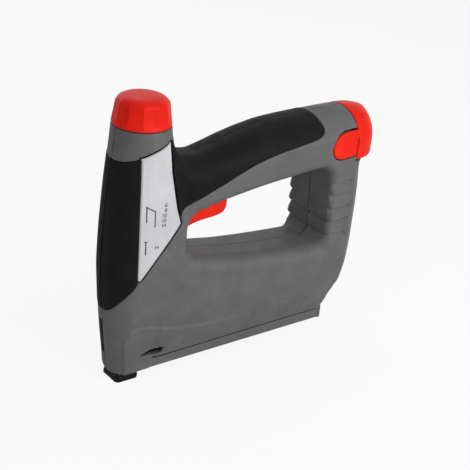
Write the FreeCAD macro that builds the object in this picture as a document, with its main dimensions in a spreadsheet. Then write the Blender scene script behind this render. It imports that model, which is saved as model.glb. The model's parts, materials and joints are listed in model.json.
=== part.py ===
import FreeCAD, Part
import math
import os
import re
import Sketcher

# Cordless stapler, millimetres.
# Origin on the nose's foot, under the staple exit. +X runs back to the battery, +Z up.
# The housing is two half shells that meet on the plane Y = 0. The near half is on -Y.

Vector = FreeCAD.Vector

# Driving dimensions, one row each in the sheet
SIZES = (
    # Housing in general
    ("wall", 2.6),
    ("overrun", 6.0),
    ("running", 0.05),
    ("gap", 0.35),
    ("seam", 0.5),
    ("rubber_depth", 1.2),
    ("rubber_stand", 0.4),
    ("tower_height", 190.0),
    # Tower, level by level: how far its front reaches, its half width and its rear
    ("foot_level", 12.0),
    ("foot_front", 15.1),
    ("foot_side", 12.0),
    ("waist_level", 60.0),
    ("waist_front", 20.6),
    ("waist_side", 18.6),
    ("tower_rear", 39.0),
    ("tower_bend", 8.0),
    ("chest_level", 112.0),
    ("chest_front", 22.6),
    ("chest_side", 21.2),
    ("shoulder_depth", 26.0),
    ("shoulder_front", 19.8),
    ("shoulder_side", 20.8),
    ("shoulder_rear", 24.4),
    ("shoulder_bend", 15.0),
    ("crown_front", 18.2),
    ("crown_side", 20.3),
    ("crown_rear", 22.4),
    # Handle, from its root in the tower to the battery end
    ("root_place", 17.0),
    ("root_top", 170.0),
    ("root_under", 119.0),
    ("root_side", 18.5),
    ("throat_place", 46.0),
    ("throat_top", 164.4),
    ("throat_under", 122.4),
    ("throat_side", 20.6),
    ("palm_place", 92.0),
    ("palm_top", 175.3),
    ("palm_under", 134.6),
    ("palm_side", 22.8),
    ("palm_bend", 19.0),
    ("heel_place", 135.0),
    ("heel_top", 179.6),
    ("heel_under", 140.0),
    ("heel_side", 24.4),
    ("heel_bend", 22.0),
    ("end_place", 177.0),
    ("end_top", 180.7),
    ("end_under", 143.5),
    ("end_side", 25.2),
    ("end_bend", 23.0),
    ("top_bend", 17.0),
    ("under_bend", 8.5),
    # Lower body, from the nose to the post
    ("bow_place", 8.0),
    ("bow_top", 58.0),
    ("bow_side", 15.6),
    ("brow_place", 20.0),
    ("brow_top", 95.5),
    ("brow_side", 19.8),
    ("deck_place", 85.0),
    ("deck_top", 84.5),
    ("deck_side", 23.2),
    ("stern_place", 176.0),
    ("stern_top", 77.5),
    ("stern_side", 25.0),
    ("deck_bend", 11.0),
    ("crease_level", 38.0),
    ("sole_level", 17.6),
    ("sole_side", 14.6),
    # Rear post
    ("post_foot_level", 30.0),
    ("post_foot_rear", 177.0),
    ("post_foot_side", 20.0),
    ("post_foot_bend", 13.0),
    ("post_knee_level", 46.0),
    ("post_knee_rear", 190.0),
    ("post_shin_level", 80.0),
    ("post_inner", 157.5),
    ("post_depth", 38.3),
    ("post_draw", 2.6),
    ("post_inner_top", 154.6),
    ("post_bend", 21.0),
    ("post_edge", 5.0),
    # Chin round the nose
    ("chin_front", 12.4),
    ("chin_foot", 7.2),
    ("chin_side", 11.6),
    ("chin_bend", 3.0),
    # Nose
    ("nose_front", 10.0),
    ("nose_rear", 4.0),
    ("nose_side", 8.7),
    ("nose_chamfer", 2.2),
    ("plate_thick", 2.0),
    ("plate_height", 40.0),
    ("throat_slot", 1.6),
    ("channel_side", 6.3),
    ("channel_floor", 8.1),
    ("nose_screw_radius", 0.8),
    ("nose_screw_head", 1.5),
    ("nose_screw_head_thick", 1.0),
    ("nose_screw_drop", 4.0),
    ("nose_screw_reach", 7.5),
    # Knob and adjusting screw
    ("drive_place", 2.0),
    ("knob_foot_radius", 20.0),
    ("knob_neck_radius", 18.0),
    ("knob_skirt", 14.0),
    ("knob_height", 19.3),
    ("knob_wall", 2.2),
    ("knob_hub", 6.5),
    ("flutes", 12),
    ("flute_radius", 16.0),
    ("flute_depth", 0.55),
    ("screw_radius", 4.0),
    ("screw_foot", 148.0),
    ("screw_rise", 12.5),
    ("collar_radius", 7.0),
    ("collar_thick", 3.0),
    # Hammer, blade and impact spring
    ("hammer_foot", 37.0),
    ("hammer_top", 72.0),
    ("hammer_front", 6.7),
    ("hammer_rear", 10.0),
    ("hammer_side", 8.0),
    ("ear_foot", 60.0),
    ("guide_ear", 3.6),
    ("guide_reach", 11.0),
    ("guide_radius", 2.2),
    ("blade_thick", 1.0),
    ("blade_side", 5.6),
    ("blade_top", 66.0),
    ("blade_foot", 0.6),
    ("spring_radius", 7.2),
    ("spring_wire", 2.2),
    ("spring_turns", 10),
    ("seat_foot", 158.0),
    ("seat_thick", 5.0),
    ("seat_radius", 10.0),
    ("frame_foot", 26.0),
    ("frame_plate_thick", 5.0),
    ("frame_front", 6.0),
    ("frame_rear", 7.0),
    ("frame_foot_side", 10.6),
    ("frame_web_inner", 8.6),
    ("frame_lug_top", 54.0),
    ("frame_lug_thick", 6.0),
    ("frame_top_depth", 14.0),
    ("frame_top_thick", 4.5),
    # Gear train
    ("lift_place", 28.0),
    ("lift_level", 62.0),
    ("lift_teeth", 28),
    ("lift_module", 1.0),
    ("wheel_teeth", 40),
    ("train_module", 1.0),
    ("train_inner", 8.6),
    ("train_width", 4.0),
    ("second_teeth", 16),
    ("first_teeth", 40),
    ("motor_teeth", 10),
    ("first_module", 0.8),
    ("first_inner", 4.9),
    ("first_width", 3.3),
    ("backlash", 0.24),
    ("mesh_slack", 0.1),
    ("train_slope", 20.0),
    ("rack_side", 4.0),
    ("rack_teeth", 9),
    ("axle_radius", 3.0),
    ("pin_radius", 1.6),
    ("cheek_thick", 1.6),
    ("cheek_far", 13.6),
    ("cheek_near", 12.6),
    ("cheek_margin", 9.0),
    # Motor
    ("motor_radius", 15.0),
    ("motor_near", 17.0),
    ("motor_far", 3.2),
    ("motor_step", 1.4),
    ("shaft_radius", 1.5),
    ("bracket_thick", 1.2),
    ("bracket_margin", 2.5),
    ("standoff_radius", 2.4),
    # Trigger and switch
    ("trigger_side", 8.6),
    ("trigger_pivot_place", 47.0),
    ("trigger_pivot_level", 129.0),
    ("trigger_pin", 2.0),
    ("trigger_pin_end", 19.3),
    ("trigger_length", 27.2),
    ("trigger_drop", 23.4),
    ("trigger_bend", 1.8),
    ("slot_rear", 76.8),
    ("return_place", 60.0),
    ("return_radius", 2.6),
    ("return_wire", 0.7),
    ("return_turns", 6),
    ("return_foot", 125.0),
    ("return_top", 141.0),
    ("return_pocket", 4.6),
    ("switch_front", 67.0),
    ("switch_rear", 87.0),
    ("switch_foot", 136.8),
    ("switch_top", 149.0),
    ("switch_side", 5.2),
    ("button_place", 71.0),
    ("button_radius", 1.6),
    ("button_foot", 128.8),
    ("button_length", 11.0),
    ("button_travel", 3.6),
    ("carrier_margin", 5.0),
    ("carrier_side", 17.4),
    ("carrier_thick", 2.0),
    # Battery
    ("pack_front", 108.0),
    ("pack_foot", 147.0),
    ("pack_top", 169.4),
    ("pack_side", 18.4),
    ("pack_bend", 9.0),
    ("pack_wall", 1.4),
    ("cell_radius", 8.2),
    ("cell_length", 62.0),
    ("cell_reach", 8.4),
    ("contact_front", 98.0),
    ("contact_side", 11.0),
    ("contact_pin", 0.8),
    ("contact_gap", 1.0),
    ("cap_length", 25.0),
    ("cap_round", 22.0),
    ("cap_inset", 20.0),
    ("cap_top_share", 0.3),
    ("cap_steps", 6),
    ("tab_length", 24.4),
    ("tab_top", 170.3),
    ("tab_foot", 147.3),
    ("tab_thick", 2.6),
    ("tab_bend", 8.5),
    ("tab_travel", 1.5),
    # Magazine
    ("rail_front", 14.0),
    ("rail_rear", 172.6),
    ("rail_foot", 7.2),
    ("rail_top", 17.2),
    ("rail_side", 12.6),
    ("rail_wall", 1.5),
    ("lip_reach", 3.4),
    ("lip_foot", 15.6),
    ("track_web", 7.4),
    ("track_web_thick", 1.5),
    ("track_flange", 10.6),
    ("track_foot", 13.4),
    ("track_top", 15.4),
    ("core_front", 5.6),
    ("core_side", 4.6),
    ("core_top", 15.8),
    ("core_wall", 1.0),
    ("core_slot_side", 1.4),
    ("end_thick", 2.2),
    ("staple_front", 6.2),
    ("staple_side", 5.65),
    ("staple_foot", 8.85),
    ("staple_wire", 0.65),
    ("staple_leg", 7.65),
    ("strip_rear", 38.6),
    ("pusher_length", 14.0),
    ("pusher_side", 6.2),
    ("feed_radius", 1.9),
    ("feed_wire", 0.5),
    ("feed_turns", 22),
    # Circuit board and screws
    ("board_front", 100.0),
    ("board_rear", 146.0),
    ("board_side", 14.0),
    ("board_level", 40.0),
    ("board_thick", 1.6),
    ("board_inset", 6.0),
    ("board_post_reach", 9.0),
    ("post_radius", 2.2),
    ("relay_height", 9.0),
    ("capacitor_radius", 4.0),
    ("capacitor_height", 13.0),
    ("boss_radius", 4.0),
    ("fastener_radius", 1.5),
    ("fastener_head", 3.0),
    ("fastener_head_thick", 2.4),
    ("fastener_depth", 12.0),
    ("fastener_seat", 11.0),
)

# Places that follow from the sizes above
TIED = (
    ("housing_length", "post_inner + post_depth"),
    ("shoulder_level", "tower_height - shoulder_depth"),
    ("frame_top", "tower_height - frame_top_depth"),
    ("knob_neck_level", "tower_height + seam + knob_skirt"),
    ("knob_top", "tower_height + seam + knob_height"),
    ("screw_head", "tower_height + screw_rise"),
    ("nose_screw_level", "frame_foot - nose_screw_drop"),
    ("cap_rear", "end_place + cap_length"),
    ("tab_front", "end_place - tab_length"),
)
NAMES = {alias for alias, value in SIZES + TIED}

doc = FreeCAD.newDocument("cordless_stapler")
sheet = doc.addObject("Spreadsheet::Sheet", "sizes")
for row, (alias, value) in enumerate(SIZES + TIED, 1):
    sheet.set("A%d" % row, alias)
    sheet.set("B%d" % row, "=%s" % value)
    sheet.setAlias("B%d" % row, alias)
doc.recompute()

WORD = re.compile(r"[a-z][a-z_]*")
TINY = 1e-4
nodes = []


# Expressions on the sheet

def cell(text):
    """The expression with each named size written as its cell in the sheet."""
    def named(found):
        word = found.group()
        return "sizes." + word if word in NAMES else word
    return WORD.sub(named, text)


def number(text):
    """The expression's value now."""
    return float(sheet.evalExpression(cell(text)))


def bind(thing, prop, text):
    thing.setExpression(prop, cell(text))


def place(thing, x="0", y="0", z="0"):
    bind(thing, "Placement.Base.x", x)
    bind(thing, "Placement.Base.y", y)
    bind(thing, "Placement.Base.z", z)
    return thing


def node(thing, label):
    """Name a finished sub-part. Its label is its file's name."""
    thing.Label = label
    nodes.append(thing)
    return thing


# Primitives and booleans

def box(name, x_from, x_to, y_from, y_to, z_from, z_to):
    made = doc.addObject("Part::Box", name)
    bind(made, "Length", "(%s) - (%s)" % (x_to, x_from))
    bind(made, "Width", "(%s) - (%s)" % (y_to, y_from))
    bind(made, "Height", "(%s) - (%s)" % (z_to, z_from))
    return place(made, x_from, y_from, z_from)


TURNS = {
    "x": FreeCAD.Rotation(Vector(0, 1, 0), 90),
    "y": FreeCAD.Rotation(Vector(1, 0, 0), -90),
    "z": FreeCAD.Rotation(),
}


def rod(name, axis, x, y, z, radius, length):
    """A cylinder that starts at x, y, z and runs along an axis."""
    made = doc.addObject("Part::Cylinder", name)
    made.Placement = FreeCAD.Placement(Vector(), TURNS[axis])
    bind(made, "Radius", radius)
    bind(made, "Height", length)
    return place(made, x, y, z)


def cut(name, base, tool):
    made = doc.addObject("Part::Cut", name)
    made.Base = base
    made.Tool = tool
    return made


def fuse(name, *parts):
    made = doc.addObject("Part::MultiFuse", name)
    made.Shapes = list(parts)
    return made


def common(name, first, second):
    made = doc.addObject("Part::Common", name)
    made.Base = first
    made.Tool = second
    return made


def mirror(name, source):
    """The same piece on the other side of the plane Y = 0."""
    made = doc.addObject("Part::Mirroring", name)
    made.Source = source
    made.Normal = Vector(0, 1, 0)
    return made


# Sketches

def draw(sketch, corners):
    """Draw a closed outline. A corner is (x, y), or (x, y, radius, turn) where an arc ends.

    The turn is 1 where the arc goes round anticlockwise and -1 where it goes clockwise.
    """
    count = len(corners)
    spots = [Vector(number(corner[0]), number(corner[1]), 0) for corner in corners]
    for index in range(count):
        start = spots[index]
        end = spots[(index + 1) % count]
        target = corners[(index + 1) % count]
        if len(target) == 2:
            sketch.addGeometry(Part.LineSegment(start, end))
            continue
        radius = number(target[2])
        chord = end - start
        rise = math.sqrt(max(radius ** 2 - (chord.Length / 2) ** 2, 0))
        across = Vector(-chord.y, chord.x, 0).normalize() * rise * target[3]
        centre = (start + end) / 2 + across
        first, last = (start, end) if target[3] > 0 else (end, start)
        angles = [math.atan2(spot.y - centre.y, spot.x - centre.x) for spot in (first, last)]
        circle = Part.Circle(centre, Vector(0, 0, 1), radius)
        sketch.addGeometry(Part.ArcOfCircle(circle, angles[0], angles[1]))

    def end_of(index):
        turned = len(corners[(index + 1) % count]) > 2 and corners[(index + 1) % count][3] < 0
        return 1 if turned else 2

    def start_of(index):
        return 3 - end_of(index)

    for index in range(count):
        after = (index + 1) % count
        joint = Sketcher.Constraint("Coincident", index, end_of(index), after, start_of(after))
        sketch.addConstraint(joint)
    for index, corner in enumerate(corners):
        for kind, text, value in (("DistanceX", corner[0], spots[index].x),
                                  ("DistanceY", corner[1], spots[index].y)):
            held = Sketcher.Constraint(kind, -1, 1, index, start_of(index), value)
            bind(sketch, "Constraints[%d]" % sketch.addConstraint(held), text)
        if len(corners[(index + 1) % count]) > 2:
            bent = corners[(index + 1) % count][2]
            held = Sketcher.Constraint("Radius", index, number(bent))
            bind(sketch, "Constraints[%d]" % sketch.addConstraint(held), bent)
    return sketch


PLANES = {
    "level": FreeCAD.Rotation(),
    "side": FreeCAD.Rotation(Vector(1, 0, 0), 90),
    "front": FreeCAD.Rotation(Vector(1, 1, 1), 120),
}


def free_sketch(name, plane, offset, corners):
    """An outline on a plane of its own: level (X, Y), side (X, Z) or front (Y, Z)."""
    sketch = doc.addObject("Sketcher::SketchObject", name)
    sketch.Placement = FreeCAD.Placement(Vector(), PLANES[plane])
    axis = {"level": "z", "side": "y", "front": "x"}[plane]
    bind(sketch, "Placement.Base." + axis, offset)
    return draw(sketch, corners)


def loft(name, sections, ruled=True):
    made = doc.addObject("Part::Loft", name)
    made.Sections = sections
    made.Solid = True
    made.Ruled = ruled
    return made


def prism(name, corners, y_from, y_to):
    """An outline in X and Z, extruded along Y."""
    made = doc.addObject("Part::Extrusion", name)
    made.Base = free_sketch(name + "_outline", "side", y_from, corners)
    made.DirMode = "Custom"
    made.Dir = Vector(0, 1, 0)
    bind(made, "LengthFwd", "(%s) - (%s)" % (y_to, y_from))
    made.Solid = True
    return made


# Bodies made of sketched features

def body(name):
    return doc.addObject("PartDesign::Body", name)


def plane_of(owner, role):
    return next(item for item in owner.Origin.OriginFeatures if item.Role == role)


ROLES = {"level": "XY_Plane", "side": "XZ_Plane", "front": "YZ_Plane"}


def sketch_on(owner, name, plane, offset, corners):
    """A sketch on one of the body's origin planes, moved along the plane's normal."""
    sketch = owner.newObject("Sketcher::SketchObject", name)
    sketch.AttachmentSupport = [(plane_of(owner, ROLES[plane]), "")]
    sketch.MapMode = "FlatFace"
    bind(sketch, "AttachmentOffset.Base.z", offset)
    return draw(sketch, corners)


def pad(owner, name, sketch, length, both_ways=False, back=False):
    made = owner.newObject("PartDesign::Pad", name)
    made.Profile = sketch
    made.Midplane = both_ways
    made.Reversed = back
    bind(made, "Length", length)
    return made


def pocket(owner, name, sketch, length, both_ways=False, back=False):
    made = owner.newObject("PartDesign::Pocket", name)
    made.Profile = sketch
    made.Midplane = both_ways
    made.Reversed = back
    bind(made, "Length", length)
    return made


def edges_where(shape, test):
    return ["Edge%d" % index for index, edge in enumerate(shape.Edges, 1) if test(edge)]


def fillet(owner, name, base, test, radius):
    """Round the edges of a feature that the test picks."""
    doc.recompute()
    made = owner.newObject("PartDesign::Fillet", name)
    made.Base = (base, edges_where(base.Shape, test))
    bind(made, "Radius", radius)
    return made


def rectangle(x_from, x_to, y_from, y_to):
    return [(x_from, y_from), (x_to, y_from), (x_to, y_to), (x_from, y_to)]


# Half sections of the housing. Each keeps to -Y and closes on the line Y = close.

def tower_section(name, level, front, side, rear, bend, inset, close):
    """Round in front, straight along the side, with a rounded rear corner."""
    reach = "(%s) - (%s)" % (side, inset)
    nose = "(%s) - (%s)" % (inset, front)
    back = "(%s) - (%s)" % (rear, inset)
    turn = "(%s) - (%s)" % (bend, inset)
    corners = [
        (nose, "0"),
        ("(%s) + %s" % (nose, reach), "-(%s)" % reach, reach, 1),
        ("(%s) - (%s)" % (back, turn), "-(%s)" % reach),
        (back, "(%s) - (%s)" % (turn, reach), turn, 1),
        (back, close),
        (nose, close),
    ]
    if close == "0":
        corners.pop()
    return free_sketch(name, "level", level, corners)


def beam_section(name, place_at, top, under, side, high, low, inset, close):
    """A beam's half section: rounded above and below. It lies across X."""
    reach = "(%s) - (%s)" % (side, inset)
    crest = "(%s) - (%s)" % (top, inset)
    base = "(%s) + (%s)" % (under, inset)
    above = "(%s) - (%s)" % (high, inset)
    below = "(%s) - (%s)" % (low, inset)
    corners = [
        (close, crest),
        ("(%s) - (%s)" % (above, reach), crest),
        ("-(%s)" % reach, "(%s) - (%s)" % (crest, above), above, 1),
        ("-(%s)" % reach, "(%s) + (%s)" % (base, below)),
        ("(%s) - (%s)" % (below, reach), base, below, 1),
        (close, base),
    ]
    return free_sketch(name, "front", place_at, corners)


def deck_section(name, place_at, top, side, inset, floor, close):
    """The lower body's half section: rounded above, drawn in below the crease."""
    reach = "(%s) - (%s)" % (side, inset)
    crest = "(%s) - (%s)" % (top, inset)
    above = "deck_bend - (%s)" % inset
    corners = [
        (close, crest),
        ("%s - (%s)" % (above, reach), crest),
        ("-(%s)" % reach, "(%s) - (%s)" % (crest, above), above, 1),
        ("-(%s)" % reach, "crease_level"),
        ("(%s) - sole_side" % inset, "sole_level + (%s)" % floor),
        (close, "sole_level + (%s)" % floor),
    ]
    return free_sketch(name, "front", place_at, corners)


def post_section(name, level, inner, outer, side, turn, inset, close):
    """The rear post's half section, with its larger bend at the rear."""
    reach = "(%s) - (%s)" % (side, inset)
    near = "(%s) + (%s)" % (inner, inset)
    far = "(%s) - (%s)" % (outer, inset)
    edge = "post_edge - (%s)" % inset
    bend = "(%s) - (%s)" % (turn, inset)
    corners = [
        (near, close),
        (near, "%s - (%s)" % (edge, reach)),
        ("(%s) + %s" % (near, edge), "-(%s)" % reach, edge, 1),
        ("(%s) - (%s)" % (far, bend), "-(%s)" % reach),
        (far, "%s - (%s)" % (bend, reach), bend, 1),
        (far, close),
    ]
    return free_sketch(name, "level", level, corners)


def upper_masses(tag, inset, floor, close):
    """The tower and handle of one half, drawn in by the inset."""
    tower = loft("tower_" + tag, [
        tower_section("tower_foot_" + tag, "foot_level + (%s)" % floor, "foot_front",
                      "foot_side", "rail_front - gap", "chin_bend", inset, close),
        tower_section("tower_waist_" + tag, "waist_level", "waist_front", "waist_side",
                      "tower_rear", "tower_bend", inset, close),
        tower_section("tower_chest_" + tag, "chest_level", "chest_front", "chest_side",
                      "tower_rear", "tower_bend", inset, close),
        tower_section("tower_shoulder_" + tag, "shoulder_level", "shoulder_front",
                      "shoulder_side", "shoulder_rear", "shoulder_bend", inset, close),
        tower_section("tower_crown_" + tag, "tower_height - (%s)" % floor, "crown_front",
                      "crown_side", "crown_rear", "crown_side - seam", inset, close),
    ])
    handle = loft("handle_" + tag, [
        beam_section("handle_root_" + tag, "root_place", "root_top", "root_under", "root_side",
                     "top_bend", "under_bend", inset, close),
        beam_section("handle_throat_" + tag, "throat_place", "throat_top", "throat_under",
                     "throat_side", "top_bend", "under_bend", inset, close),
        beam_section("handle_palm_" + tag, "palm_place", "palm_top", "palm_under",
                     "palm_side", "palm_bend", "under_bend", inset, close),
        beam_section("handle_heel_" + tag, "heel_place", "heel_top", "heel_under",
                     "heel_side", "heel_bend", "under_bend", inset, close),
        beam_section("handle_end_" + tag, "end_place", "end_top", "end_under", "end_side",
                     "end_bend", "under_bend", inset, close),
    ])
    return tower, handle


def lower_masses(tag, inset, floor, close):
    """The lower body and post of one half, drawn in by the inset."""
    deck = loft("deck_" + tag, [
        deck_section("deck_bow_" + tag, "(%s) - bow_place" % floor, "bow_top", "bow_side",
                     inset, floor, close),
        deck_section("deck_brow_" + tag, "brow_place", "brow_top", "brow_side",
                     inset, floor, close),
        deck_section("deck_middle_" + tag, "deck_place", "deck_top", "deck_side",
                     inset, floor, close),
        deck_section("deck_stern_" + tag, "stern_place - (%s)" % floor, "stern_top",
                     "stern_side", inset, floor, close),
    ])
    post = loft("post_" + tag, [
        post_section("post_foot_" + tag, "post_foot_level + (%s)" % floor, "post_inner",
                     "post_foot_rear", "post_foot_side", "post_foot_bend", inset, close),
        post_section("post_knee_" + tag, "post_knee_level", "post_inner", "post_knee_rear",
                     "stern_side", "post_bend", inset, close),
        post_section("post_shin_" + tag, "post_shin_level", "post_inner", "housing_length",
                     "stern_side", "post_bend", inset, close),
        post_section("post_top_" + tag, "end_under - (%s)" % floor, "post_inner_top",
                     "housing_length - post_draw", "end_side", "post_bend", inset, close),
    ])
    return deck, post


def half_masses(tag, inset, floor, close):
    return upper_masses(tag, inset, floor, close) + lower_masses(tag, inset, floor, close)


# Housing screws: the size that each one's X follows, and its X and Z as shares

SCREW_SHARES = (
    ("throat_place", 0.784, 0.808), ("palm_place", 1.0439, 0.742), ("post_inner", 1.0603, 0.706),
    ("post_inner", 1.1698, 0.340), ("post_inner", 1.0603, 0.185), ("deck_place", 1.2244, 0.384),
    ("tower_rear", 0.784, 0.560), ("tower_rear", 0.6433, 0.158),
)


def screw_spots():
    """Each screw's X and Z as expressions."""
    for size, along, up in SCREW_SHARES:
        yield "%s * %s" % (along, size), "%s * tower_height" % up


# Regions of rubber and label on the side, as shares of the handle's end and the tower's height

FRONT_GRIP_SHARES = (
    (-0.22147, 0.3084), (-0.11525, 0.3068), (-0.10904, 0.3179), (-0.09548, 0.3437),
    (-0.07345, 0.3784), (-0.04576, 0.4121), (-0.03164, 0.4363), (-0.03559, 0.4632),
    (-0.04294, 0.6526), (-0.04633, 0.9100), (-0.07684, 0.8989), (-0.10508, 0.8853),
    (-0.22147, 0.8789),
)
LABEL_SHARES = (
    (-0.03559, 0.4632), (-0.03164, 0.4495), (-0.02373, 0.4453), (-0.01186, 0.4568),
    (0.04746, 0.5284), (0.10791, 0.5989), (0.14237, 0.6447), (0.12938, 0.6900),
    (0.11017, 0.7547), (0.09718, 0.8063), (0.08418, 0.8526), (0.08079, 0.8937),
    (0.08136, 0.9542), (0.04407, 0.9416), (-0.01864, 0.9211), (-0.04633, 0.9100),
    (-0.04294, 0.6526),
)
HANDLE_GRIP_SHARES = (
    (0.14237, 0.6447), (0.14463, 0.6774), (0.15593, 0.6942), (0.17571, 0.7047),
    (0.22825, 0.7216), (0.27458, 0.7405), (0.34746, 0.7684), (0.42090, 0.7995),
    (0.49661, 0.8279), (0.59831, 0.8489), (0.67740, 0.8605), (0.77288, 0.8721),
    (0.81299, 0.8821), (0.83051, 0.9000), (0.82090, 0.9342), (0.81638, 0.9526),
    (0.81638, 1.0400), (0.16610, 1.0400), (0.13051, 0.9505), (0.08136, 0.9542),
    (0.08079, 0.8937), (0.08418, 0.8526), (0.09718, 0.8063), (0.11017, 0.7547),
    (0.12938, 0.6900),
)


def side_outline(shares):
    return [("%s * end_place" % x, "%s * tower_height" % z) for x, z in shares]


# Housing halves, rubber and label

outer = fuse("outer_half", *half_masses("outer", "0", "0", "0"))
inner = fuse("inner_half", *half_masses("inner", "wall", "wall", "overrun"))
grown = fuse("grown_half", *upper_masses("grown", "-rubber_stand", "-rubber_stand", "0"))
shrunk = fuse("shrunk_half", *upper_masses("shrunk", "rubber_depth", "rubber_depth", "overrun"))

chin = loft("chin_block", [
    tower_section("chin_foot_outline", "chin_foot", "chin_front", "chin_side",
                  "rail_front - gap", "chin_bend", "0", "0"),
    tower_section("chin_root_outline", "foot_level", "foot_front", "foot_side",
                  "rail_front - gap", "chin_bend", "0", "0"),
])
bosses = [rod("boss_%d" % count, "y", x, "-end_side - overrun", z, "boss_radius",
              "end_side + overrun")
          for count, (x, z) in enumerate(screw_spots())]
cavity = cut("cavity_half", inner, fuse("bosses_half", *bosses))
skin = cut("skin_half", grown, shrunk)
layers = []
for region, shares in (("front_grip", FRONT_GRIP_SHARES), ("label_plate", LABEL_SHARES),
                       ("handle_grip", HANDLE_GRIP_SHARES)):
    area = prism(region + "_area", side_outline(shares), "-end_side - overrun", "0")
    layers.append((region, common(region + "_piece", skin, area)))

battery_bay = loft("battery_bay", [
    beam_section("bay_front", "end_place - wall - overrun", "end_top", "end_under", "end_side",
                 "end_bend", "under_bend", "wall", "overrun"),
    beam_section("bay_rear", "end_place + overrun", "end_top", "end_under", "end_side",
                 "end_bend", "under_bend", "wall", "overrun"),
])


def tab_outline(grow):
    """The release tab from the side: a rounded front and a square rear."""
    low = "tab_foot - (%s)" % grow
    high = "tab_top + (%s)" % grow
    front = "tab_front - (%s)" % grow
    return [
        ("end_place + (%s)" % grow, low),
        ("end_place + (%s)" % grow, high),
        ("%s + tab_bend" % front, high),
        (front, "%s - tab_bend" % high, "tab_bend", 1),
        (front, "%s + tab_bend" % low),
        ("%s + tab_bend" % front, low, "tab_bend", 1),
    ]


WEDGE_SHARES = (
    (0.229, 1.205), (0.536, 1.114), (1.514, 1.131), (1.564, 1.398), (1.471, 1.494), (0.643, 1.347),
)

openings = fuse(
    "openings_half",
    cavity,
    battery_bay,
    rod("knob_hole", "z", "drive_place", "0", "tower_height - wall - overrun",
        "screw_radius + seam", "wall + overrun + overrun"),
    box("nose_hole", "-nose_front - gap", "rail_front", "-nose_side - gap", "overrun",
        "0", "sole_level + wall"),
    box("plate_hole", "-nose_front - nose_screw_head_thick - gap", "frame_rear",
        "-nose_side - gap", "overrun", "nose_screw_level - nose_screw_head - gap",
        "plate_height + gap"),
    box("rail_hole", "rail_front - gap", "housing_length", "-stern_side", "overrun",
        "0", "sole_level"),
    box("trigger_hole", "tower_rear + seam", "slot_rear", "-trigger_side - gap", "overrun",
        "trigger_pivot_level - trigger_drop - overrun", "trigger_pivot_level + wall * 2"),
    rod("pin_hole", "y", "trigger_pivot_place", "-trigger_pin_end", "trigger_pivot_level",
        "trigger_pin", "trigger_pin_end"),
    prism("tab_hole", tab_outline("gap"), "-end_side - overrun", "gap - pack_side"),
    prism("wedge_hole", [("rail_front * %s" % along, "sole_level * %s" % up)
                         for along, up in WEDGE_SHARES],
          "-foot_side - overrun", "-track_flange"),
)
blank = cut("blank_half", fuse("block_half", outer, chin), openings)
clad = cut("clad_half", blank, fuse("layers_half", *[piece for region, piece in layers]))

left_holes = fuse("left_holes", *[
    rod("left_hole_%d" % count, "y", x, "-fastener_depth - seam", z,
        "fastener_radius + running", "fastener_depth + overrun")
    for count, (x, z) in enumerate(screw_spots())])
right_holes = fuse("right_holes", *[
    fuse("right_hole_%d" % count,
         rod("right_bore_%d" % count, "y", x, "-overrun", z,
             "fastener_radius + running", "fastener_seat + overrun + seam"),
         rod("right_sink_%d" % count, "y", x, "fastener_seat", z,
             "fastener_head + gap", "end_side + overrun"))
    for count, (x, z) in enumerate(screw_spots())])
node(cut("left_half", clad, left_holes), "housing_left")
node(cut("right_half", mirror("right_blank", clad), right_holes), "housing_right")
for region, piece in layers:
    node(piece, region + "_left")
    node(mirror(region + "_far", piece), region + "_right")

fasteners = []
for count, (x, z) in enumerate(screw_spots()):
    shank = rod("screw_shank_%d" % count, "y", x, "-fastener_depth", z,
                "fastener_radius", "fastener_depth + fastener_seat + seam")
    head = rod("screw_head_%d" % count, "y", x, "fastener_seat", z,
               "fastener_head", "fastener_head_thick")
    drive = box("screw_drive_%d" % count, "%s - fastener_head" % x, "%s + fastener_head" % x,
                "fastener_seat + fastener_head_thick - seam * 2", "fastener_seat + overrun",
                "%s - seam" % z, "%s + seam" % z)
    fasteners.append(cut("screw_%d" % count, fuse("screw_blank_%d" % count, shank, head), drive))
bundle = doc.addObject("Part::Compound", "screw_set")
bundle.Links = fasteners
node(bundle, "housing_screws")


# Power knob: a fluted dome, hollow round its hub

def circle_sketch(owner, name, plane, offset, x, y, radius):
    """A round outline on one of the body's origin planes."""
    sketch = owner.newObject("Sketcher::SketchObject", name)
    sketch.AttachmentSupport = [(plane_of(owner, ROLES[plane]), "")]
    sketch.MapMode = "FlatFace"
    bind(sketch, "AttachmentOffset.Base.z", offset)
    centre = Vector(number(x), number(y), 0)
    sketch.addGeometry(Part.Circle(centre, Vector(0, 0, 1), number(radius)))
    for kind, text, value in (("DistanceX", x, centre.x), ("DistanceY", y, centre.y)):
        held = Sketcher.Constraint(kind, -1, 1, 0, 3, value)
        bind(sketch, "Constraints[%d]" % sketch.addConstraint(held), text)
    held = Sketcher.Constraint("Radius", 0, number(radius))
    bind(sketch, "Constraints[%d]" % sketch.addConstraint(held), radius)
    return sketch


def turned(owner, name, corners):
    """Revolve an outline in X and Z about Z."""
    profile = sketch_on(owner, name + "_profile", "side", "0", corners)
    made = owner.newObject("PartDesign::Revolution", name)
    made.Profile = profile
    made.ReferenceAxis = (profile, ["V_Axis"])
    made.Angle = 360
    return made


def ring_of(owner, name, repeated, count):
    """Repeat a feature round the body's Z axis."""
    doc.recompute()
    made = owner.newObject("PartDesign::PolarPattern", name)
    made.Originals = [repeated]
    made.Axis = (plane_of(owner, "Z_Axis"), [""])
    made.Angle = 360
    bind(made, "Occurrences", count)
    owner.Tip = made
    return made


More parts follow.
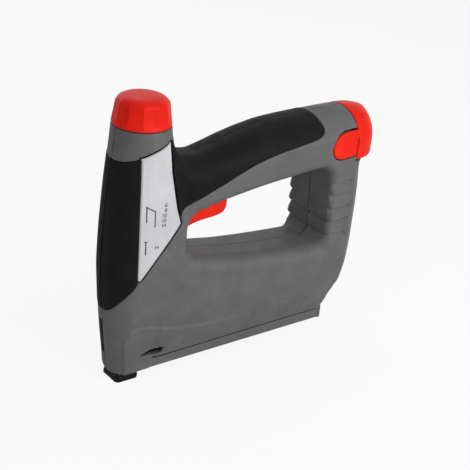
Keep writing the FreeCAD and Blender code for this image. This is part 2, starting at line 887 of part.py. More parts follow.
def make_knob():
    owner = body("knob_body")
    foot = "tower_height + seam"
    roof = "knob_top - knob_wall"
    shoulder = "knob_top - knob_neck_level"
    turned(owner, "knob_turned", [
        ("0", "screw_head + seam"),
        ("screw_radius", "screw_head + seam"),
        ("screw_radius", foot),
        ("knob_hub", foot),
        ("knob_hub", "%s - knob_wall" % roof),
        ("knob_neck_radius - knob_wall * 3", "%s - knob_wall" % roof),
        ("knob_foot_radius - knob_wall", foot),
        ("knob_foot_radius", foot),
        ("knob_neck_radius", "knob_neck_level"),
        ("knob_neck_radius - (%s)" % shoulder, "knob_top", shoulder, 1),
        ("0", "knob_top"),
    ])
    flute = owner.newObject("PartDesign::SubtractiveCone", "knob_flute")
    bind(flute, "Radius1", "flute_radius")
    bind(flute, "Radius2", "flute_radius + knob_foot_radius - knob_neck_radius")
    bind(flute, "Height", "knob_neck_level - (%s)" % foot)
    place(flute, "knob_foot_radius - flute_depth + flute_radius", "0", foot)
    ring_of(owner, "knob_flutes", flute, "flutes")
    return place(owner, "drive_place")


node(make_knob(), "power_knob")


# Adjusting screw, spring seat and frame

screw = fuse(
    "screw_blank",
    rod("screw_stem", "z", "drive_place", "0", "screw_foot", "screw_radius",
        "screw_head - screw_foot"),
    rod("screw_collar", "z", "drive_place", "0", "frame_top + frame_top_thick + seam",
        "collar_radius", "collar_thick"),
)
node(screw, "adjusting_screw")

seat = fuse(
    "seat_blank",
    rod("seat_disc", "z", "drive_place", "0", "seat_foot", "seat_radius", "seat_thick"),
    box("seat_bar", "drive_place - guide_ear", "drive_place + guide_ear",
        "-guide_reach - guide_ear", "guide_reach + guide_ear",
        "seat_foot", "seat_foot + seat_thick"),
)


def guide_holes(name, low, length, clearance):
    """The two bores that a piece slides or sits on the guide rods with."""
    return [rod("%s_%s" % (name, side), "z", "drive_place", reach, low,
                "guide_radius + %s" % clearance, length)
            for side, reach in (("near", "-guide_reach"), ("far", "guide_reach"))]


seat_holes = fuse("seat_holes", rod("seat_thread", "z", "drive_place", "0",
                                    "seat_foot - overrun", "screw_radius + running",
                                    "seat_thick + overrun * 2"),
                  *guide_holes("seat_guide", "seat_foot - overrun",
                               "seat_thick + overrun * 2", "running"))
node(cut("seat_cut", seat, seat_holes), "spring_seat")

foot_plate = box("frame_plate", "-frame_front", "frame_rear", "-frame_foot_side",
                 "frame_foot_side", "frame_foot", "frame_foot + frame_plate_thick")


def frame_web(name, sign):
    """One cheek of the foot frame with the lug that holds a guide rod."""
    near, far = ("-frame_foot_side", "-frame_web_inner")
    lug = "-guide_reach - guide_ear + seam * 2"
    if sign > 0:
        near, far = "frame_web_inner", "frame_foot_side"
        lug = "frame_web_inner"
    lug_end = "-frame_web_inner" if sign < 0 else "guide_reach + guide_ear - seam * 2"
    web = box(name + "_web", "-frame_front", "frame_rear", near, far,
              "frame_foot", "frame_lug_top")
    ledge = box(name + "_lug", "-frame_front", "frame_rear", lug, lug_end,
                "frame_lug_top - frame_lug_thick", "frame_lug_top")
    return [web, ledge]


frame_low = fuse("frame_low", foot_plate, *(frame_web("near", -1) + frame_web("far", 1)))
low_holes = fuse("frame_low_holes", *guide_holes("frame_low_hole", "frame_foot",
                                                 "frame_lug_top", "0"))
node(cut("frame_low_cut", frame_low, low_holes), "hammer_frame_foot")

frame_high = box("frame_high", "-hammer_front", "hammer_rear", "-guide_reach - guide_ear",
                 "guide_reach + guide_ear", "frame_top", "frame_top + frame_top_thick")
high_holes = fuse("frame_high_holes",
                  rod("frame_screw_hole", "z", "drive_place", "0", "frame_top - overrun",
                      "screw_radius + running", "frame_top_thick + overrun * 2"),
                  *guide_holes("frame_high_hole", "frame_top - overrun",
                               "frame_top_thick + overrun * 2", "0"))
node(cut("frame_high_cut", frame_high, high_holes), "hammer_frame_top")

guides = doc.addObject("Part::Compound", "guide_set")
guides.Links = guide_holes("guide_rod", "frame_lug_top - frame_lug_thick",
                           "frame_top + frame_top_thick - frame_lug_top + frame_lug_thick", "0")
node(guides, "guide_rods")

node(box("buffer_pad", "-frame_front", "frame_rear", "-hammer_side", "hammer_side",
         "frame_foot + frame_plate_thick", "hammer_foot - gap"), "hammer_buffer")


# Hammer with its driver blade and rack

hammer_block = fuse(
    "hammer_block",
    box("hammer_stem", "-hammer_front", "hammer_rear", "-hammer_side", "hammer_side",
        "hammer_foot", "hammer_top"),
    box("hammer_bar", "drive_place - guide_ear", "drive_place + guide_ear", "-guide_reach",
        "guide_reach", "ear_foot", "hammer_top"),
    *[rod("hammer_ear_%s" % side, "z", "drive_place", reach, "ear_foot", "guide_ear",
          "hammer_top - ear_foot")
      for side, reach in (("near", "-guide_reach"), ("far", "guide_reach"))],
)
hammer_holes = fuse("hammer_holes", *guide_holes("hammer_hole", "ear_foot - overrun",
                                                 "hammer_top", "running"))
node(cut("hammer_cut", hammer_block, hammer_holes), "hammer")


def make_blade():
    """The flat driver, with a bevelled foot as wide as a staple's crown."""
    owner = body("blade_body")
    shape = sketch_on(owner, "blade_profile", "front", "-hammer_front", [
        ("-blade_side", "blade_foot"),
        ("blade_side", "blade_foot"),
        ("blade_side", "hammer_foot"),
        ("hammer_side", "hammer_foot + overrun"),
        ("hammer_side", "blade_top"),
        ("-hammer_side", "blade_top"),
        ("-hammer_side", "hammer_foot + overrun"),
        ("-blade_side", "hammer_foot"),
    ])
    pad(owner, "blade_pad", shape, "blade_thick", back=True)
    return owner


node(make_blade(), "driver_blade")


# Gears. A tooth's flanks are involutes, and a little backlash thins every tooth.

PRESSURE = math.radians(20)
ADDENDUM_SHARE = 0.95
DEDENDUM_SHARE = 1.2
BARE_RIM_SHARE = 0.6
FLANK_POINTS = 4


def involute(angle):
    return math.tan(angle) - angle


def half_tooth(radius, pitch_radius, teeth, play):
    """Half the angle of a tooth at a radius."""
    base_radius = pitch_radius * math.cos(PRESSURE)
    half = math.pi / (2 * teeth) - play / (2 * pitch_radius)
    slope = math.acos(min(base_radius / radius, 1))
    return half + involute(PRESSURE) - involute(slope)


def gear_points(teeth, module, play, phase, present):
    """The outline of a gear round the origin. Teeth that are not present leave a bare rim."""
    pitch_radius = teeth * module / 2
    root = pitch_radius - DEDENDUM_SHARE * module
    tip = pitch_radius + ADDENDUM_SHARE * module
    foot = max(root, pitch_radius * math.cos(PRESSURE))
    radii = [foot + (tip - foot) * step / (FLANK_POINTS - 1) for step in range(FLANK_POINTS)]
    points = []
    for count in range(teeth):
        middle = phase + count * 2 * math.pi / teeth
        rim = math.pi / teeth
        if count not in present:
            points.append((root, middle - rim * BARE_RIM_SHARE))
            points.append((root, middle + rim * BARE_RIM_SHARE))
            continue
        flank = [(radius, half_tooth(radius, pitch_radius, teeth, play)) for radius in radii]
        lowest = 0 if foot > root else 1
        points.append((root, middle - flank[0][1]))
        points.extend((radius, middle - half) for radius, half in flank[lowest:])
        points.extend((radius, middle + half) for radius, half in reversed(flank[lowest:]))
        points.append((root, middle + flank[0][1]))
    return [Vector(radius * math.cos(angle), 0, radius * math.sin(angle))
            for radius, angle in points]


def gear_solid(teeth, module, play, phase, present, thick, bore):
    """A gear round the Y axis, with a bore unless the bore is 0."""
    points = gear_points(teeth, module, play, phase, present)
    face = Part.Face(Part.makePolygon(points + points[:1]))
    solid = face.extrude(Vector(0, thick, 0))
    if bore:
        solid = solid.cut(Part.makeCylinder(bore, thick, Vector(), Vector(0, 1, 0)))
    return solid


def feature(name, shape, x, y, z):
    """A shape worked out here, placed by expressions."""
    made = doc.addObject("Part::Feature", name)
    made.Shape = shape
    return place(made, x, y, z)


play = number("backlash")
turn = math.pi
slope = math.radians(number("train_slope"))
first_reach = "(wheel_teeth + second_teeth) * train_module / 2 + mesh_slack"
motor_reach = "(first_teeth + motor_teeth) * first_module / 2 + mesh_slack"
second_place = "lift_place + (%s) * cos(train_slope * 1deg)" % first_reach
second_level = "lift_level - (%s) * sin(train_slope * 1deg)" % first_reach
motor_place = "%s + %s" % (second_place, motor_reach)

lift_teeth = int(number("lift_teeth"))
wheel_teeth = int(number("wheel_teeth"))
second_teeth = int(number("second_teeth"))
first_teeth = int(number("first_teeth"))
motor_teeth = int(number("motor_teeth"))
sector = range(lift_teeth // 3)

lift_pinion = gear_solid(lift_teeth, number("lift_module"), play, turn, sector,
                         number("rack_side * 2"), number("axle_radius"))
node(feature("lift_pinion_part", lift_pinion, "lift_place", "-rack_side", "lift_level"),
     "lift_pinion")
wheel = gear_solid(wheel_teeth, number("train_module"), play,
                   -slope + math.pi / wheel_teeth, range(wheel_teeth),
                   number("train_width"), number("axle_radius"))
node(feature("lift_wheel_part", wheel, "lift_place", "train_inner", "lift_level"),
     "lift_wheel")
node(rod("lift_axle_part", "y", "lift_place", "-cheek_near - cheek_thick", "lift_level",
         "axle_radius", "cheek_near + cheek_far + cheek_thick * 2"), "lift_axle")

second = gear_solid(second_teeth, number("train_module"), play, turn - slope,
                    range(second_teeth), number("train_inner + train_width - first_inner"),
                    number("pin_radius + running"))
first = gear_solid(first_teeth, number("first_module"), play, math.pi / first_teeth,
                   range(first_teeth), number("first_width"), number("pin_radius + running"))
node(feature("reduction_part", first.fuse(second), second_place, "first_inner", second_level),
     "reduction_gear")
node(rod("reduction_axle_part", "y", second_place, "-cheek_near - cheek_thick", second_level,
         "pin_radius", "cheek_near + cheek_far + cheek_thick * 2"), "reduction_axle")

motor_gear = gear_solid(motor_teeth, number("first_module"), play, turn, range(motor_teeth),
                        number("first_width"), number("shaft_radius"))
node(feature("motor_pinion_part", motor_gear, motor_place, "first_inner", second_level),
     "motor_pinion")
node(rod("motor_shaft_part", "y", motor_place, "-motor_near + seam", second_level,
         "shaft_radius", "motor_near - seam + first_inner + first_width"), "motor_shaft")


def rack_points():
    """The rack's outline in X and Z. A gap of it faces the pinion at rest."""
    module = number("lift_module")
    pitch = math.pi * module
    middle = number("lift_place") - number("lift_teeth") * module / 2
    root = middle - DEDENDUM_SHARE * module
    tip = middle + ADDENDUM_SHARE * module
    back = number("hammer_rear")
    top = number("lift_level") + pitch
    count = int(number("rack_teeth"))
    half = pitch / 4 - play / 2

    def width(x):
        return half - (x - middle) * math.tan(PRESSURE)

    points = [Vector(back, 0, top), Vector(root, 0, top)]
    for index in range(count):
        centre = number("lift_level") + pitch / 2 - index * pitch
        points.append(Vector(root, 0, centre + width(root)))
        points.append(Vector(tip, 0, centre + width(tip)))
        points.append(Vector(tip, 0, centre - width(tip)))
        points.append(Vector(root, 0, centre - width(root)))
    low = number("hammer_foot")
    points.append(Vector(root, 0, low))
    points.append(Vector(back, 0, low))
    return points


rack_outline = rack_points()
rack = Part.Face(Part.makePolygon(rack_outline + rack_outline[:1]))
rack = rack.extrude(Vector(0, number("rack_side * 2"), 0))
node(feature("lift_rack_part", rack, "0", "-rack_side", "0"), "lift_rack")

far_cheek = box("far_cheek", "lift_place - cheek_margin - axle_radius",
                "%s + motor_radius + bracket_margin" % motor_place,
                "cheek_far", "cheek_far + cheek_thick",
                "%s - motor_radius - bracket_margin" % second_level,
                "lift_level + cheek_margin + axle_radius")
far_holes = fuse("far_cheek_holes",
                 rod("far_lift_hole", "y", "lift_place", "0", "lift_level",
                     "axle_radius + running", "cheek_far + overrun"),
                 rod("far_second_hole", "y", second_place, "0", second_level,
                     "pin_radius", "cheek_far + overrun"),
                 rod("far_motor_hole", "y", motor_place, "0", second_level,
                     "motor_radius / 2", "cheek_far + overrun"))
node(cut("far_cheek_cut", far_cheek, far_holes), "gear_cheek_right")
near_cheek = box("near_cheek", "lift_place - cheek_margin - axle_radius",
                 "%s + axle_radius + seam" % second_place,
                 "-cheek_near - cheek_thick", "-cheek_near",
                 "%s - cheek_margin" % second_level, "lift_level + cheek_margin + axle_radius")
near_holes = fuse("near_cheek_holes",
                  rod("near_lift_hole", "y", "lift_place", "-cheek_near - overrun",
                      "lift_level", "axle_radius + running", "overrun * 2"),
                  rod("near_second_hole", "y", second_place, "-cheek_near - overrun",
                      second_level, "pin_radius", "overrun * 2"))
node(cut("near_cheek_cut", near_cheek, near_holes), "gear_cheek_left")


# Motor, its bracket and standoffs

def make_motor():
    """A round can with a stepped boss, hollow round its shaft."""
    owner = body("motor_body")
    turned(owner, "motor_can_turned", [
        ("shaft_radius + running", "-motor_far"),
        ("motor_radius", "-motor_far"),
        ("motor_radius", "motor_near"),
        ("motor_radius / 2", "motor_near"),
        ("motor_radius / 2", "motor_near - motor_step"),
        ("shaft_radius + running", "motor_near - motor_step"),
    ])
    owner.Placement = FreeCAD.Placement(Vector(), FreeCAD.Rotation(Vector(1, 0, 0), 90))
    return place(owner, motor_place, "0", second_level)


node(make_motor(), "motor_can")
bracket = box("bracket_blank", "%s - motor_radius + bracket_margin" % motor_place,
              "%s + motor_radius + bracket_margin" % motor_place,
              "motor_far", "motor_far + bracket_thick",
              "%s - motor_radius - bracket_margin" % second_level,
              "%s + motor_radius" % second_level)
node(cut("bracket_cut", bracket,
         rod("bracket_hole", "y", motor_place, "0", second_level,
             "shaft_radius + seam * 2", "motor_far + overrun")), "motor_bracket")
standoffs = doc.addObject("Part::Compound", "standoff_set")
standoffs.Links = [
    rod("standoff_%s" % name, "y", "%s + motor_radius - seam" % motor_place,
        "motor_far + bracket_thick", level, "standoff_radius",
        "cheek_far - motor_far - bracket_thick")
    for name, level in (("low", "%s - motor_radius + seam" % second_level),
                        ("high", "%s + motor_radius - standoff_radius * 2" % second_level))]
node(standoffs, "motor_standoffs")


# Coils

def span(start, heading, end):
    """An arc that leaves its start along a heading."""
    chord = end - start
    across = heading - chord * (heading.dot(chord) / chord.dot(chord))
    half_turn = heading.getAngle(chord) / 2
    middle = (start + end) / 2
    if across.Length > 0:
        middle = middle + across.normalize() * (chord.Length / 2 * math.tan(half_turn))
    return Part.Arc(start, middle, end).toShape()


def biarc(start, heading, end, leaving):
    """Two arcs with a common tangent between two points and their headings."""
    chord = end - start
    both = heading + leaving
    spread = 2 * (1 - heading.dot(leaving))
    along = chord.dot(both)
    reach = (math.sqrt(along ** 2 + spread * chord.dot(chord)) - along) / spread
    joint = (start + heading * reach + end - leaving * reach) / 2
    meeting = (joint - start) * 2 / (joint - start).Length ** 2
    turned_heading = meeting * (joint - start).dot(heading) - heading
    return [span(start, heading, joint), span(joint, turned_heading.normalize(), end)]


def coil(name, radius, wire, length, turns):
    """A helical spring from the origin along +Z, one unbroken tube."""
    rise = (length - wire) / turns
    quarter = math.pi / 2
    steps = int(turns * 4)

    def spot(step):
        angle = step * quarter
        height = wire / 2 + rise * step / 4
        return Vector(radius * math.cos(angle), radius * math.sin(angle), height)

    def heading(step):
        angle = step * quarter
        slant = Vector(-math.sin(angle), math.cos(angle), rise / (2 * math.pi * radius))
        return slant.normalize()

    edges = []
    for step in range(steps):
        edges.extend(biarc(spot(step), heading(step), spot(step + 1), heading(step + 1)))
    path = Part.Wire(edges)
    ring = Part.Wire(Part.makeCircle(wire / 2, spot(0), heading(0)))
    print("%s: least gap between turns %.2f" % (name, rise - wire))
    return path.makePipeShell([ring], True, False)


impact = coil("impact_spring", number("spring_radius"), number("spring_wire"),
              number("seat_foot - hammer_top"), number("spring_turns"))
node(feature("impact_spring_part", impact, "drive_place", "0", "hammer_top"),
     "impact_spring")


# Trigger, its pin and return spring, and the switch

TRIGGER_SHARES = (
    (-0.268, -1.0), (-0.103, -0.799), (0.202, -0.684), (0.585, -0.697), (0.912, -0.641),
    (1.007, -0.462),
)
TRIGGER_ROOT_SHARES = (
    (0.22, 0.128), (0.074, 0.214), (-0.092, 0.171), (-0.173, 0), (-0.22, -0.385),
    (-0.261, -0.726),
)


def trigger_points(shares):
    """Corners of the trigger, measured from its pivot."""
    return [("trigger_pivot_place + trigger_length * %s" % along,
             "trigger_pivot_level + trigger_drop * %s" % up) for along, up in shares]


def make_trigger():
    owner = body("trigger_body")
    heel = "trigger_pivot_place + trigger_length"
    profile = sketch_on(owner, "trigger_profile", "side", "0",
                        trigger_points(TRIGGER_SHARES) + [
                            (heel, "button_foot - running * 2"),
                            ("return_place + return_pocket", "button_foot - running * 2"),
                            ("return_place + return_pocket", "return_foot"),
                            ("return_place - return_pocket", "return_foot"),
                        ] + trigger_points(TRIGGER_ROOT_SHARES))
    pad(owner, "trigger_pad", profile, "trigger_side * 2", both_ways=True)
    bore = circle_sketch(owner, "trigger_bore_profile", "side", "0", "trigger_pivot_place",
                         "trigger_pivot_level", "trigger_pin + running")
    hole = pocket(owner, "trigger_bore", bore, "trigger_side * 2 + overrun", both_ways=True)
    reach = number("trigger_side")
    floor = number("return_foot")

    def outer_edge(edge):
        ends = [spot.Point for spot in edge.Vertexes]
        flat = all(abs(abs(end.y) - reach) < TINY for end in ends)
        return len(ends) == 2 and flat and max(end.z for end in ends) < floor - TINY

    fillet(owner, "trigger_fillet", hole, outer_edge, "trigger_bend")
    return owner


node(make_trigger(), "trigger")
node(rod("trigger_pin_part", "y", "trigger_pivot_place", "-trigger_pin_end",
         "trigger_pivot_level", "trigger_pin", "trigger_pin_end * 2"), "trigger_pin")
return_coil = coil("trigger_spring", number("return_radius"), number("return_wire"),
                   number("return_top - return_foot"), number("return_turns"))
node(feature("trigger_spring_part", return_coil, "return_place", "0", "return_foot"),
     "trigger_spring")

switch_block = box("switch_block", "switch_front", "switch_rear", "-switch_side", "switch_side",
                   "switch_foot", "switch_top")
button_level = "button_foot + button_length"
switch_bore = rod("switch_bore", "z", "button_place", "0", "switch_foot - overrun",
                  "button_radius + running",
                  "%s + button_travel - switch_foot + overrun" % button_level)
node(cut("switch_cut", switch_block, switch_bore), "switch_body")
node(rod("switch_button_part", "z", "button_place", "0", "button_foot", "button_radius",
         "button_length"), "switch_button")
carrier = fuse("carrier_blank",
               box("carrier_plate", "return_place - carrier_margin",
                   "switch_rear + carrier_margin", "-carrier_side", "carrier_side",
                   "switch_top", "switch_top + carrier_thick"),
               rod("carrier_boss", "z", "return_place", "0", "return_top",
                   "return_radius + return_wire", "switch_top - return_top + seam"))
node(carrier, "switch_carrier")


# Circuit board

def make_board():
    owner = body("board_body")
    profile = sketch_on(owner, "board_profile", "level", "board_level",
                        rectangle("board_front", "board_rear", "-board_side", "board_side"))
    board = pad(owner, "board_pad", profile, "board_thick")
    doc.recompute()
    low = number("board_level")

    def corner(edge):
        ends = [spot.Point for spot in edge.Vertexes]
        return abs(ends[0].z - ends[1].z) > TINY and min(end.z for end in ends) < low + TINY

    fillet(owner, "board_corners", board, corner, "board_thick")
    return owner


node(make_board(), "circuit_board")
posts = doc.addObject("Part::Compound", "board_post_set")
posts.Links = [
    rod("board_post_%d" % count, "z", x, y, "sole_level + wall", "post_radius",
        "board_level - sole_level - wall")
    for count, (x, y) in enumerate((
        ("board_front + board_inset", "-board_post_reach"),
        ("board_front + board_inset", "board_post_reach"),
        ("board_rear - board_inset", "-board_post_reach"),
        ("board_rear - board_inset", "board_post_reach")))]
node(posts, "board_posts")
board_top = "board_level + board_thick"
chips = doc.addObject("Part::Compound", "board_part_set")
chips.Links = [
    box("relay", "board_front + board_inset", "board_front + board_inset * 3",
        "-board_inset", "board_inset", board_top, "%s + relay_height" % board_top),
    rod("near_capacitor", "z", "(board_front + board_rear) / 2", "-board_inset", board_top,
        "capacitor_radius", "capacitor_height"),
    rod("far_capacitor", "z", "(board_front + board_rear) / 2", "board_inset", board_top,
        "capacitor_radius", "capacitor_height"),
    box("driver_chip", "board_rear - board_inset * 2", "board_rear - board_inset",
        "-board_inset", "board_inset", board_top, "%s + board_thick" % board_top),
]
node(chips, "board_parts")


# Battery with its contacts, cells, end cap and release tabs

cap_front = "end_place + gap"


def pack_section(name, place_at, inset):
    """The battery case across X, with rounded upper corners."""
    side = "pack_side - (%s)" % inset
    bend = "pack_bend - (%s)" % inset
    high = "pack_top - (%s)" % inset
    low = "pack_foot + (%s)" % inset
    return free_sketch(name, "front", place_at, [
        ("-(%s)" % side, low),
        (side, low),
        (side, "(%s) - (%s)" % (high, bend)),
        ("(%s) - (%s)" % (side, bend), high, bend, 1),
        ("(%s) - (%s)" % (bend, side), high),
        ("-(%s)" % side, "(%s) - (%s)" % (high, bend), bend, 1),
    ])


def along_x(name, section, length):
    made = doc.addObject("Part::Extrusion", name)
    made.Base = section
    made.DirMode = "Custom"
    made.Dir = Vector(1, 0, 0)
    bind(made, "LengthFwd", length)
    made.Solid = True
    return made


case_outer = along_x("case_outer", pack_section("case_outline", "pack_front", "0"),
                     "%s - pack_front" % cap_front)
case_inner = along_x("case_inner", pack_section("case_cavity_outline",
                                                "pack_front + pack_wall", "pack_wall"),
                     "%s - pack_front - pack_wall * 2" % cap_front)
cell_level = "pack_foot + pack_wall + cell_radius"


def contact_rods(name, start, radius, length):
    return [rod("%s_%s" % (name, side), "x", start, reach, cell_level, radius, length)
            for side, reach in (("near", "-cell_reach"), ("far", "cell_reach"))]


case_holes = fuse("case_holes", case_inner,
                  *contact_rods("case_hole", "pack_front - overrun", "contact_pin + seam",
                                "pack_wall + overrun * 2"))
node(cut("case_cut", case_outer, case_holes), "battery_case")
cells = doc.addObject("Part::Compound", "cell_set")
cells.Links = contact_rods("cell", "pack_front + pack_wall + seam", "cell_radius", "cell_length")
node(cells, "battery_cells")
node(box("contact_block_part", "contact_front", "pack_front - contact_gap", "-contact_side",
         "contact_side", "pack_foot", "%s + cell_radius" % cell_level), "contact_block")
pins = doc.addObject("Part::Compound", "contact_pin_set")
pins.Links = contact_rods("contact_rod", "pack_front - contact_gap", "contact_pin",
                          "contact_gap + pack_wall")
node(pins, "contact_pins")


def cap_section(name, place_at, inset):
    """The cap's section, drawn in at its sides by the inset and above by a share of it."""
    reach = "end_side - (%s)" % inset
    high = "end_bend - (%s)" % inset
    low = "under_bend - cap_top_share * (%s)" % inset
    top = "end_top - cap_top_share * (%s)" % inset
    under = "end_under + gap"
    return free_sketch(name, "front", place_at, [
        ("(%s) - (%s)" % (high, reach), top),
        ("-(%s)" % reach, "(%s) - (%s)" % (top, high), high, 1),
        ("-(%s)" % reach, "(%s) + (%s)" % (under, low)),
        ("(%s) - (%s)" % (low, reach), under, low, 1),
        ("(%s) - (%s)" % (reach, low), under),
        (reach, "(%s) + (%s)" % (under, low), low, 1),
        (reach, "(%s) - (%s)" % (top, high)),
        ("(%s) - (%s)" % (reach, high), top, high, 1),
    ])


steps = int(number("cap_steps"))
cap_sections = [cap_section("cap_foot", cap_front, "0")]
for step in range(steps + 1):
    bend_angle = "(90 deg * %d / %d)" % (step, steps)
    cap_sections.append(cap_section(
        "cap_step_%d" % step,
        "cap_rear - cap_round * (1 - sin%s)" % bend_angle,
        "cap_inset * (1 - cos%s)" % bend_angle))
node(loft("cap_loft", cap_sections), "battery_cap")

tab = fuse("tab_blank",
           prism("tab_plate", tab_outline("0"), "-end_side", "tab_thick - end_side"),
           box("tab_stem", "tab_front + tab_bend", "end_place - tab_bend",
               "tab_thick - end_side - seam", "-pack_side - tab_travel - running",
               "tab_foot + tab_bend", "tab_top - tab_bend"))
node(tab, "release_tab_left")
node(mirror("tab_far", tab), "release_tab_right")


# Nose

nose_blank = box("nose_blank", "plate_thick - nose_front", "nose_rear", "-nose_side",
                 "nose_side", "0", "frame_foot")
nose_holes = fuse(
    "nose_holes",
    box("blade_throat", "-nose_front", "plate_thick - nose_front + throat_slot",
        "-channel_side", "channel_side", "-overrun", "frame_foot + overrun"),
    box("staple_channel", "-nose_front", "nose_rear + overrun", "-channel_side",
        "channel_side", "channel_floor", "frame_foot + overrun"),
    *[rod("nose_bore_%s" % side, "x", "-nose_front", reach, "nose_screw_level",
          "nose_screw_radius", "nose_front + seam")
      for side, reach in (("near", "-nose_screw_reach"), ("far", "nose_screw_reach"))])
node(cut("nose_cut", nose_blank, nose_holes), "nose_block")


def make_nose_plate():
    owner = body("nose_plate_body")
    profile = sketch_on(owner, "nose_plate_profile", "front", "-nose_front", [
        ("nose_chamfer - nose_side", "0"),
        ("nose_side - nose_chamfer", "0"),
        ("nose_side", "nose_chamfer"),
        ("nose_side", "frame_foot"),
        ("channel_side", "plate_height"),
        ("-channel_side", "plate_height"),
        ("-nose_side", "frame_foot"),
        ("-nose_side", "nose_chamfer"),
    ])
    pad(owner, "nose_plate_pad", profile, "plate_thick")
    for side, reach in (("near", "-nose_screw_reach"), ("far", "nose_screw_reach")):
        hole = circle_sketch(owner, "nose_plate_hole_%s_profile" % side, "front", "-nose_front",
                             reach, "nose_screw_level", "nose_screw_radius")
        pocket(owner, "nose_plate_hole_%s" % side, hole, "plate_thick", back=True)
    return owner


node(make_nose_plate(), "nose_plate")
nose_fasteners = doc.addObject("Part::Compound", "nose_screw_set")
nose_fasteners.Links = [
    fuse("nose_screw_%s" % side,
         rod("nose_shank_%s" % side, "x", "-nose_front - seam", reach, "nose_screw_level",
             "nose_screw_radius", "nose_front"),
         rod("nose_head_%s" % side, "x", "-nose_front - nose_screw_head_thick", reach,
             "nose_screw_level", "nose_screw_head", "nose_screw_head_thick"))
    for side, reach in (("near", "-nose_screw_reach"), ("far", "nose_screw_reach"))]
node(nose_fasteners, "nose_screws")


# Magazine

rail = cut("rail_cut",
           box("rail_blank", "rail_front", "rail_rear", "-rail_side", "rail_side",
               "rail_foot", "rail_top"),
           fuse("rail_space",
                box("rail_cavity", "rail_front - overrun", "rail_rear + overrun",
                    "rail_wall - rail_side", "rail_side - rail_wall",
                    "rail_foot + rail_wall", "lip_foot"),
                box("rail_mouth", "rail_front - overrun", "rail_rear + overrun",
                    "lip_reach - rail_side", "rail_side - lip_reach",
                    "lip_foot - seam", "rail_top + overrun")))
node(rail, "magazine_rail")


def track_strip(name, near):
    """A strip under the body whose flange runs below the rail's lip."""
    spans = [("track_web", "track_web + track_web_thick"), ("track_web", "track_flange")]
    if near:
        spans = [("-(%s)" % far, "-(%s)" % close) for close, far in spans]
    web = box(name + "_web", "rail_front + overrun", "rail_rear - overrun", spans[0][0],
              spans[0][1], "track_top", "sole_level")
    flange = box(name + "_flange", "rail_front + overrun", "rail_rear - overrun", spans[1][0],
                 spans[1][1], "track_foot", "track_top")
    return fuse(name, web, flange)


track = doc.addObject("Part::Compound", "track_set")
track.Links = [track_strip("track_near", True), track_strip("track_far", False)]
node(track, "magazine_track")

core = cut("core_cut",
           box("core_blank", "-core_front", "rail_rear", "-core_side", "core_side",
               "rail_foot + rail_wall", "core_top"),
           fuse("core_space",
                box("core_cavity", "-core_front - overrun", "rail_rear + overrun",
                    "core_wall - core_side", "core_side - core_wall",
                    "rail_foot + rail_wall + core_wall", "core_top - core_wall"),
                box("core_slot", "strip_rear", "rail_rear + overrun", "-core_slot_side",
                    "core_slot_side", "core_top - core_wall - seam", "core_top + overrun")))
node(core, "staple_core")
node(box("rail_end_part", "rail_rear", "rail_rear + end_thick", "-rail_side", "rail_side",
         "rail_foot", "rail_top"), "rail_end")
node(cut("strip_cut",
         box("strip_blank", "-staple_front", "strip_rear", "-staple_side", "staple_side",
             "staple_foot", "staple_foot + staple_leg"),
         box("strip_space", "-staple_front - overrun", "strip_rear + overrun",
             "staple_wire - staple_side", "staple_side - staple_wire",
             "staple_foot - overrun", "staple_foot + staple_leg - staple_wire")),
     "staple_strip")

pusher_front = "strip_rear + running"
pusher_rear = "strip_rear + running + pusher_length"
saddle = cut("saddle",
             box("saddle_blank", pusher_front, pusher_rear, "-pusher_side", "pusher_side",
                 "staple_foot", "staple_foot + staple_leg + seam"),
             box("saddle_space", "%s - overrun" % pusher_front, "%s + overrun" % pusher_rear,
                 "-core_side - gap", "core_side + gap", "staple_foot - overrun",
                 "core_top + gap"))
tongue = box("pusher_tongue", pusher_front, pusher_rear, "gap - core_slot_side",
             "core_slot_side - gap", "core_top - core_wall - seam", "staple_foot + staple_leg")
slider = box("pusher_slider", pusher_front, pusher_rear, "core_wall + gap - core_side",
             "core_side - core_wall - gap", "rail_foot + rail_wall + core_wall + gap",
             "core_top - core_wall - gap")
node(fuse("pusher_blank", saddle, tongue, slider), "pusher")

feed = coil("pusher_spring", number("feed_radius"), number("feed_wire"),
            number("rail_rear - (%s)" % pusher_rear), number("feed_turns"))
feed_part = doc.addObject("Part::Feature", "pusher_spring_part")
feed_part.Shape = feed
feed_part.Placement = FreeCAD.Placement(Vector(), TURNS["x"])
place(feed_part, pusher_rear, "0", "(core_top + rail_foot + rail_wall) / 2")
node(feed_part, "pusher_spring")


# Check and write

doc.recompute()
failed = [item.Name for item in doc.Objects if {"Invalid", "Error"} & set(item.State)]
if failed:
    raise RuntimeError("failed objects: %s" % ", ".join(failed))
os.makedirs("parts", exist_ok=True)
for made in nodes:
    shape = made.Shape
    if shape.isNull() or not shape.isValid():
        raise RuntimeError("bad shape: %s" % made.Label)
    print("%-24s solids %3d volume %10.1f" % (made.Label, len(shape.Solids), shape.Volume))
    shape.exportStep("parts/%s.step" % made.Label)
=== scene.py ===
import json
import math
import bpy
import numpy as np
from mathutils import Matrix

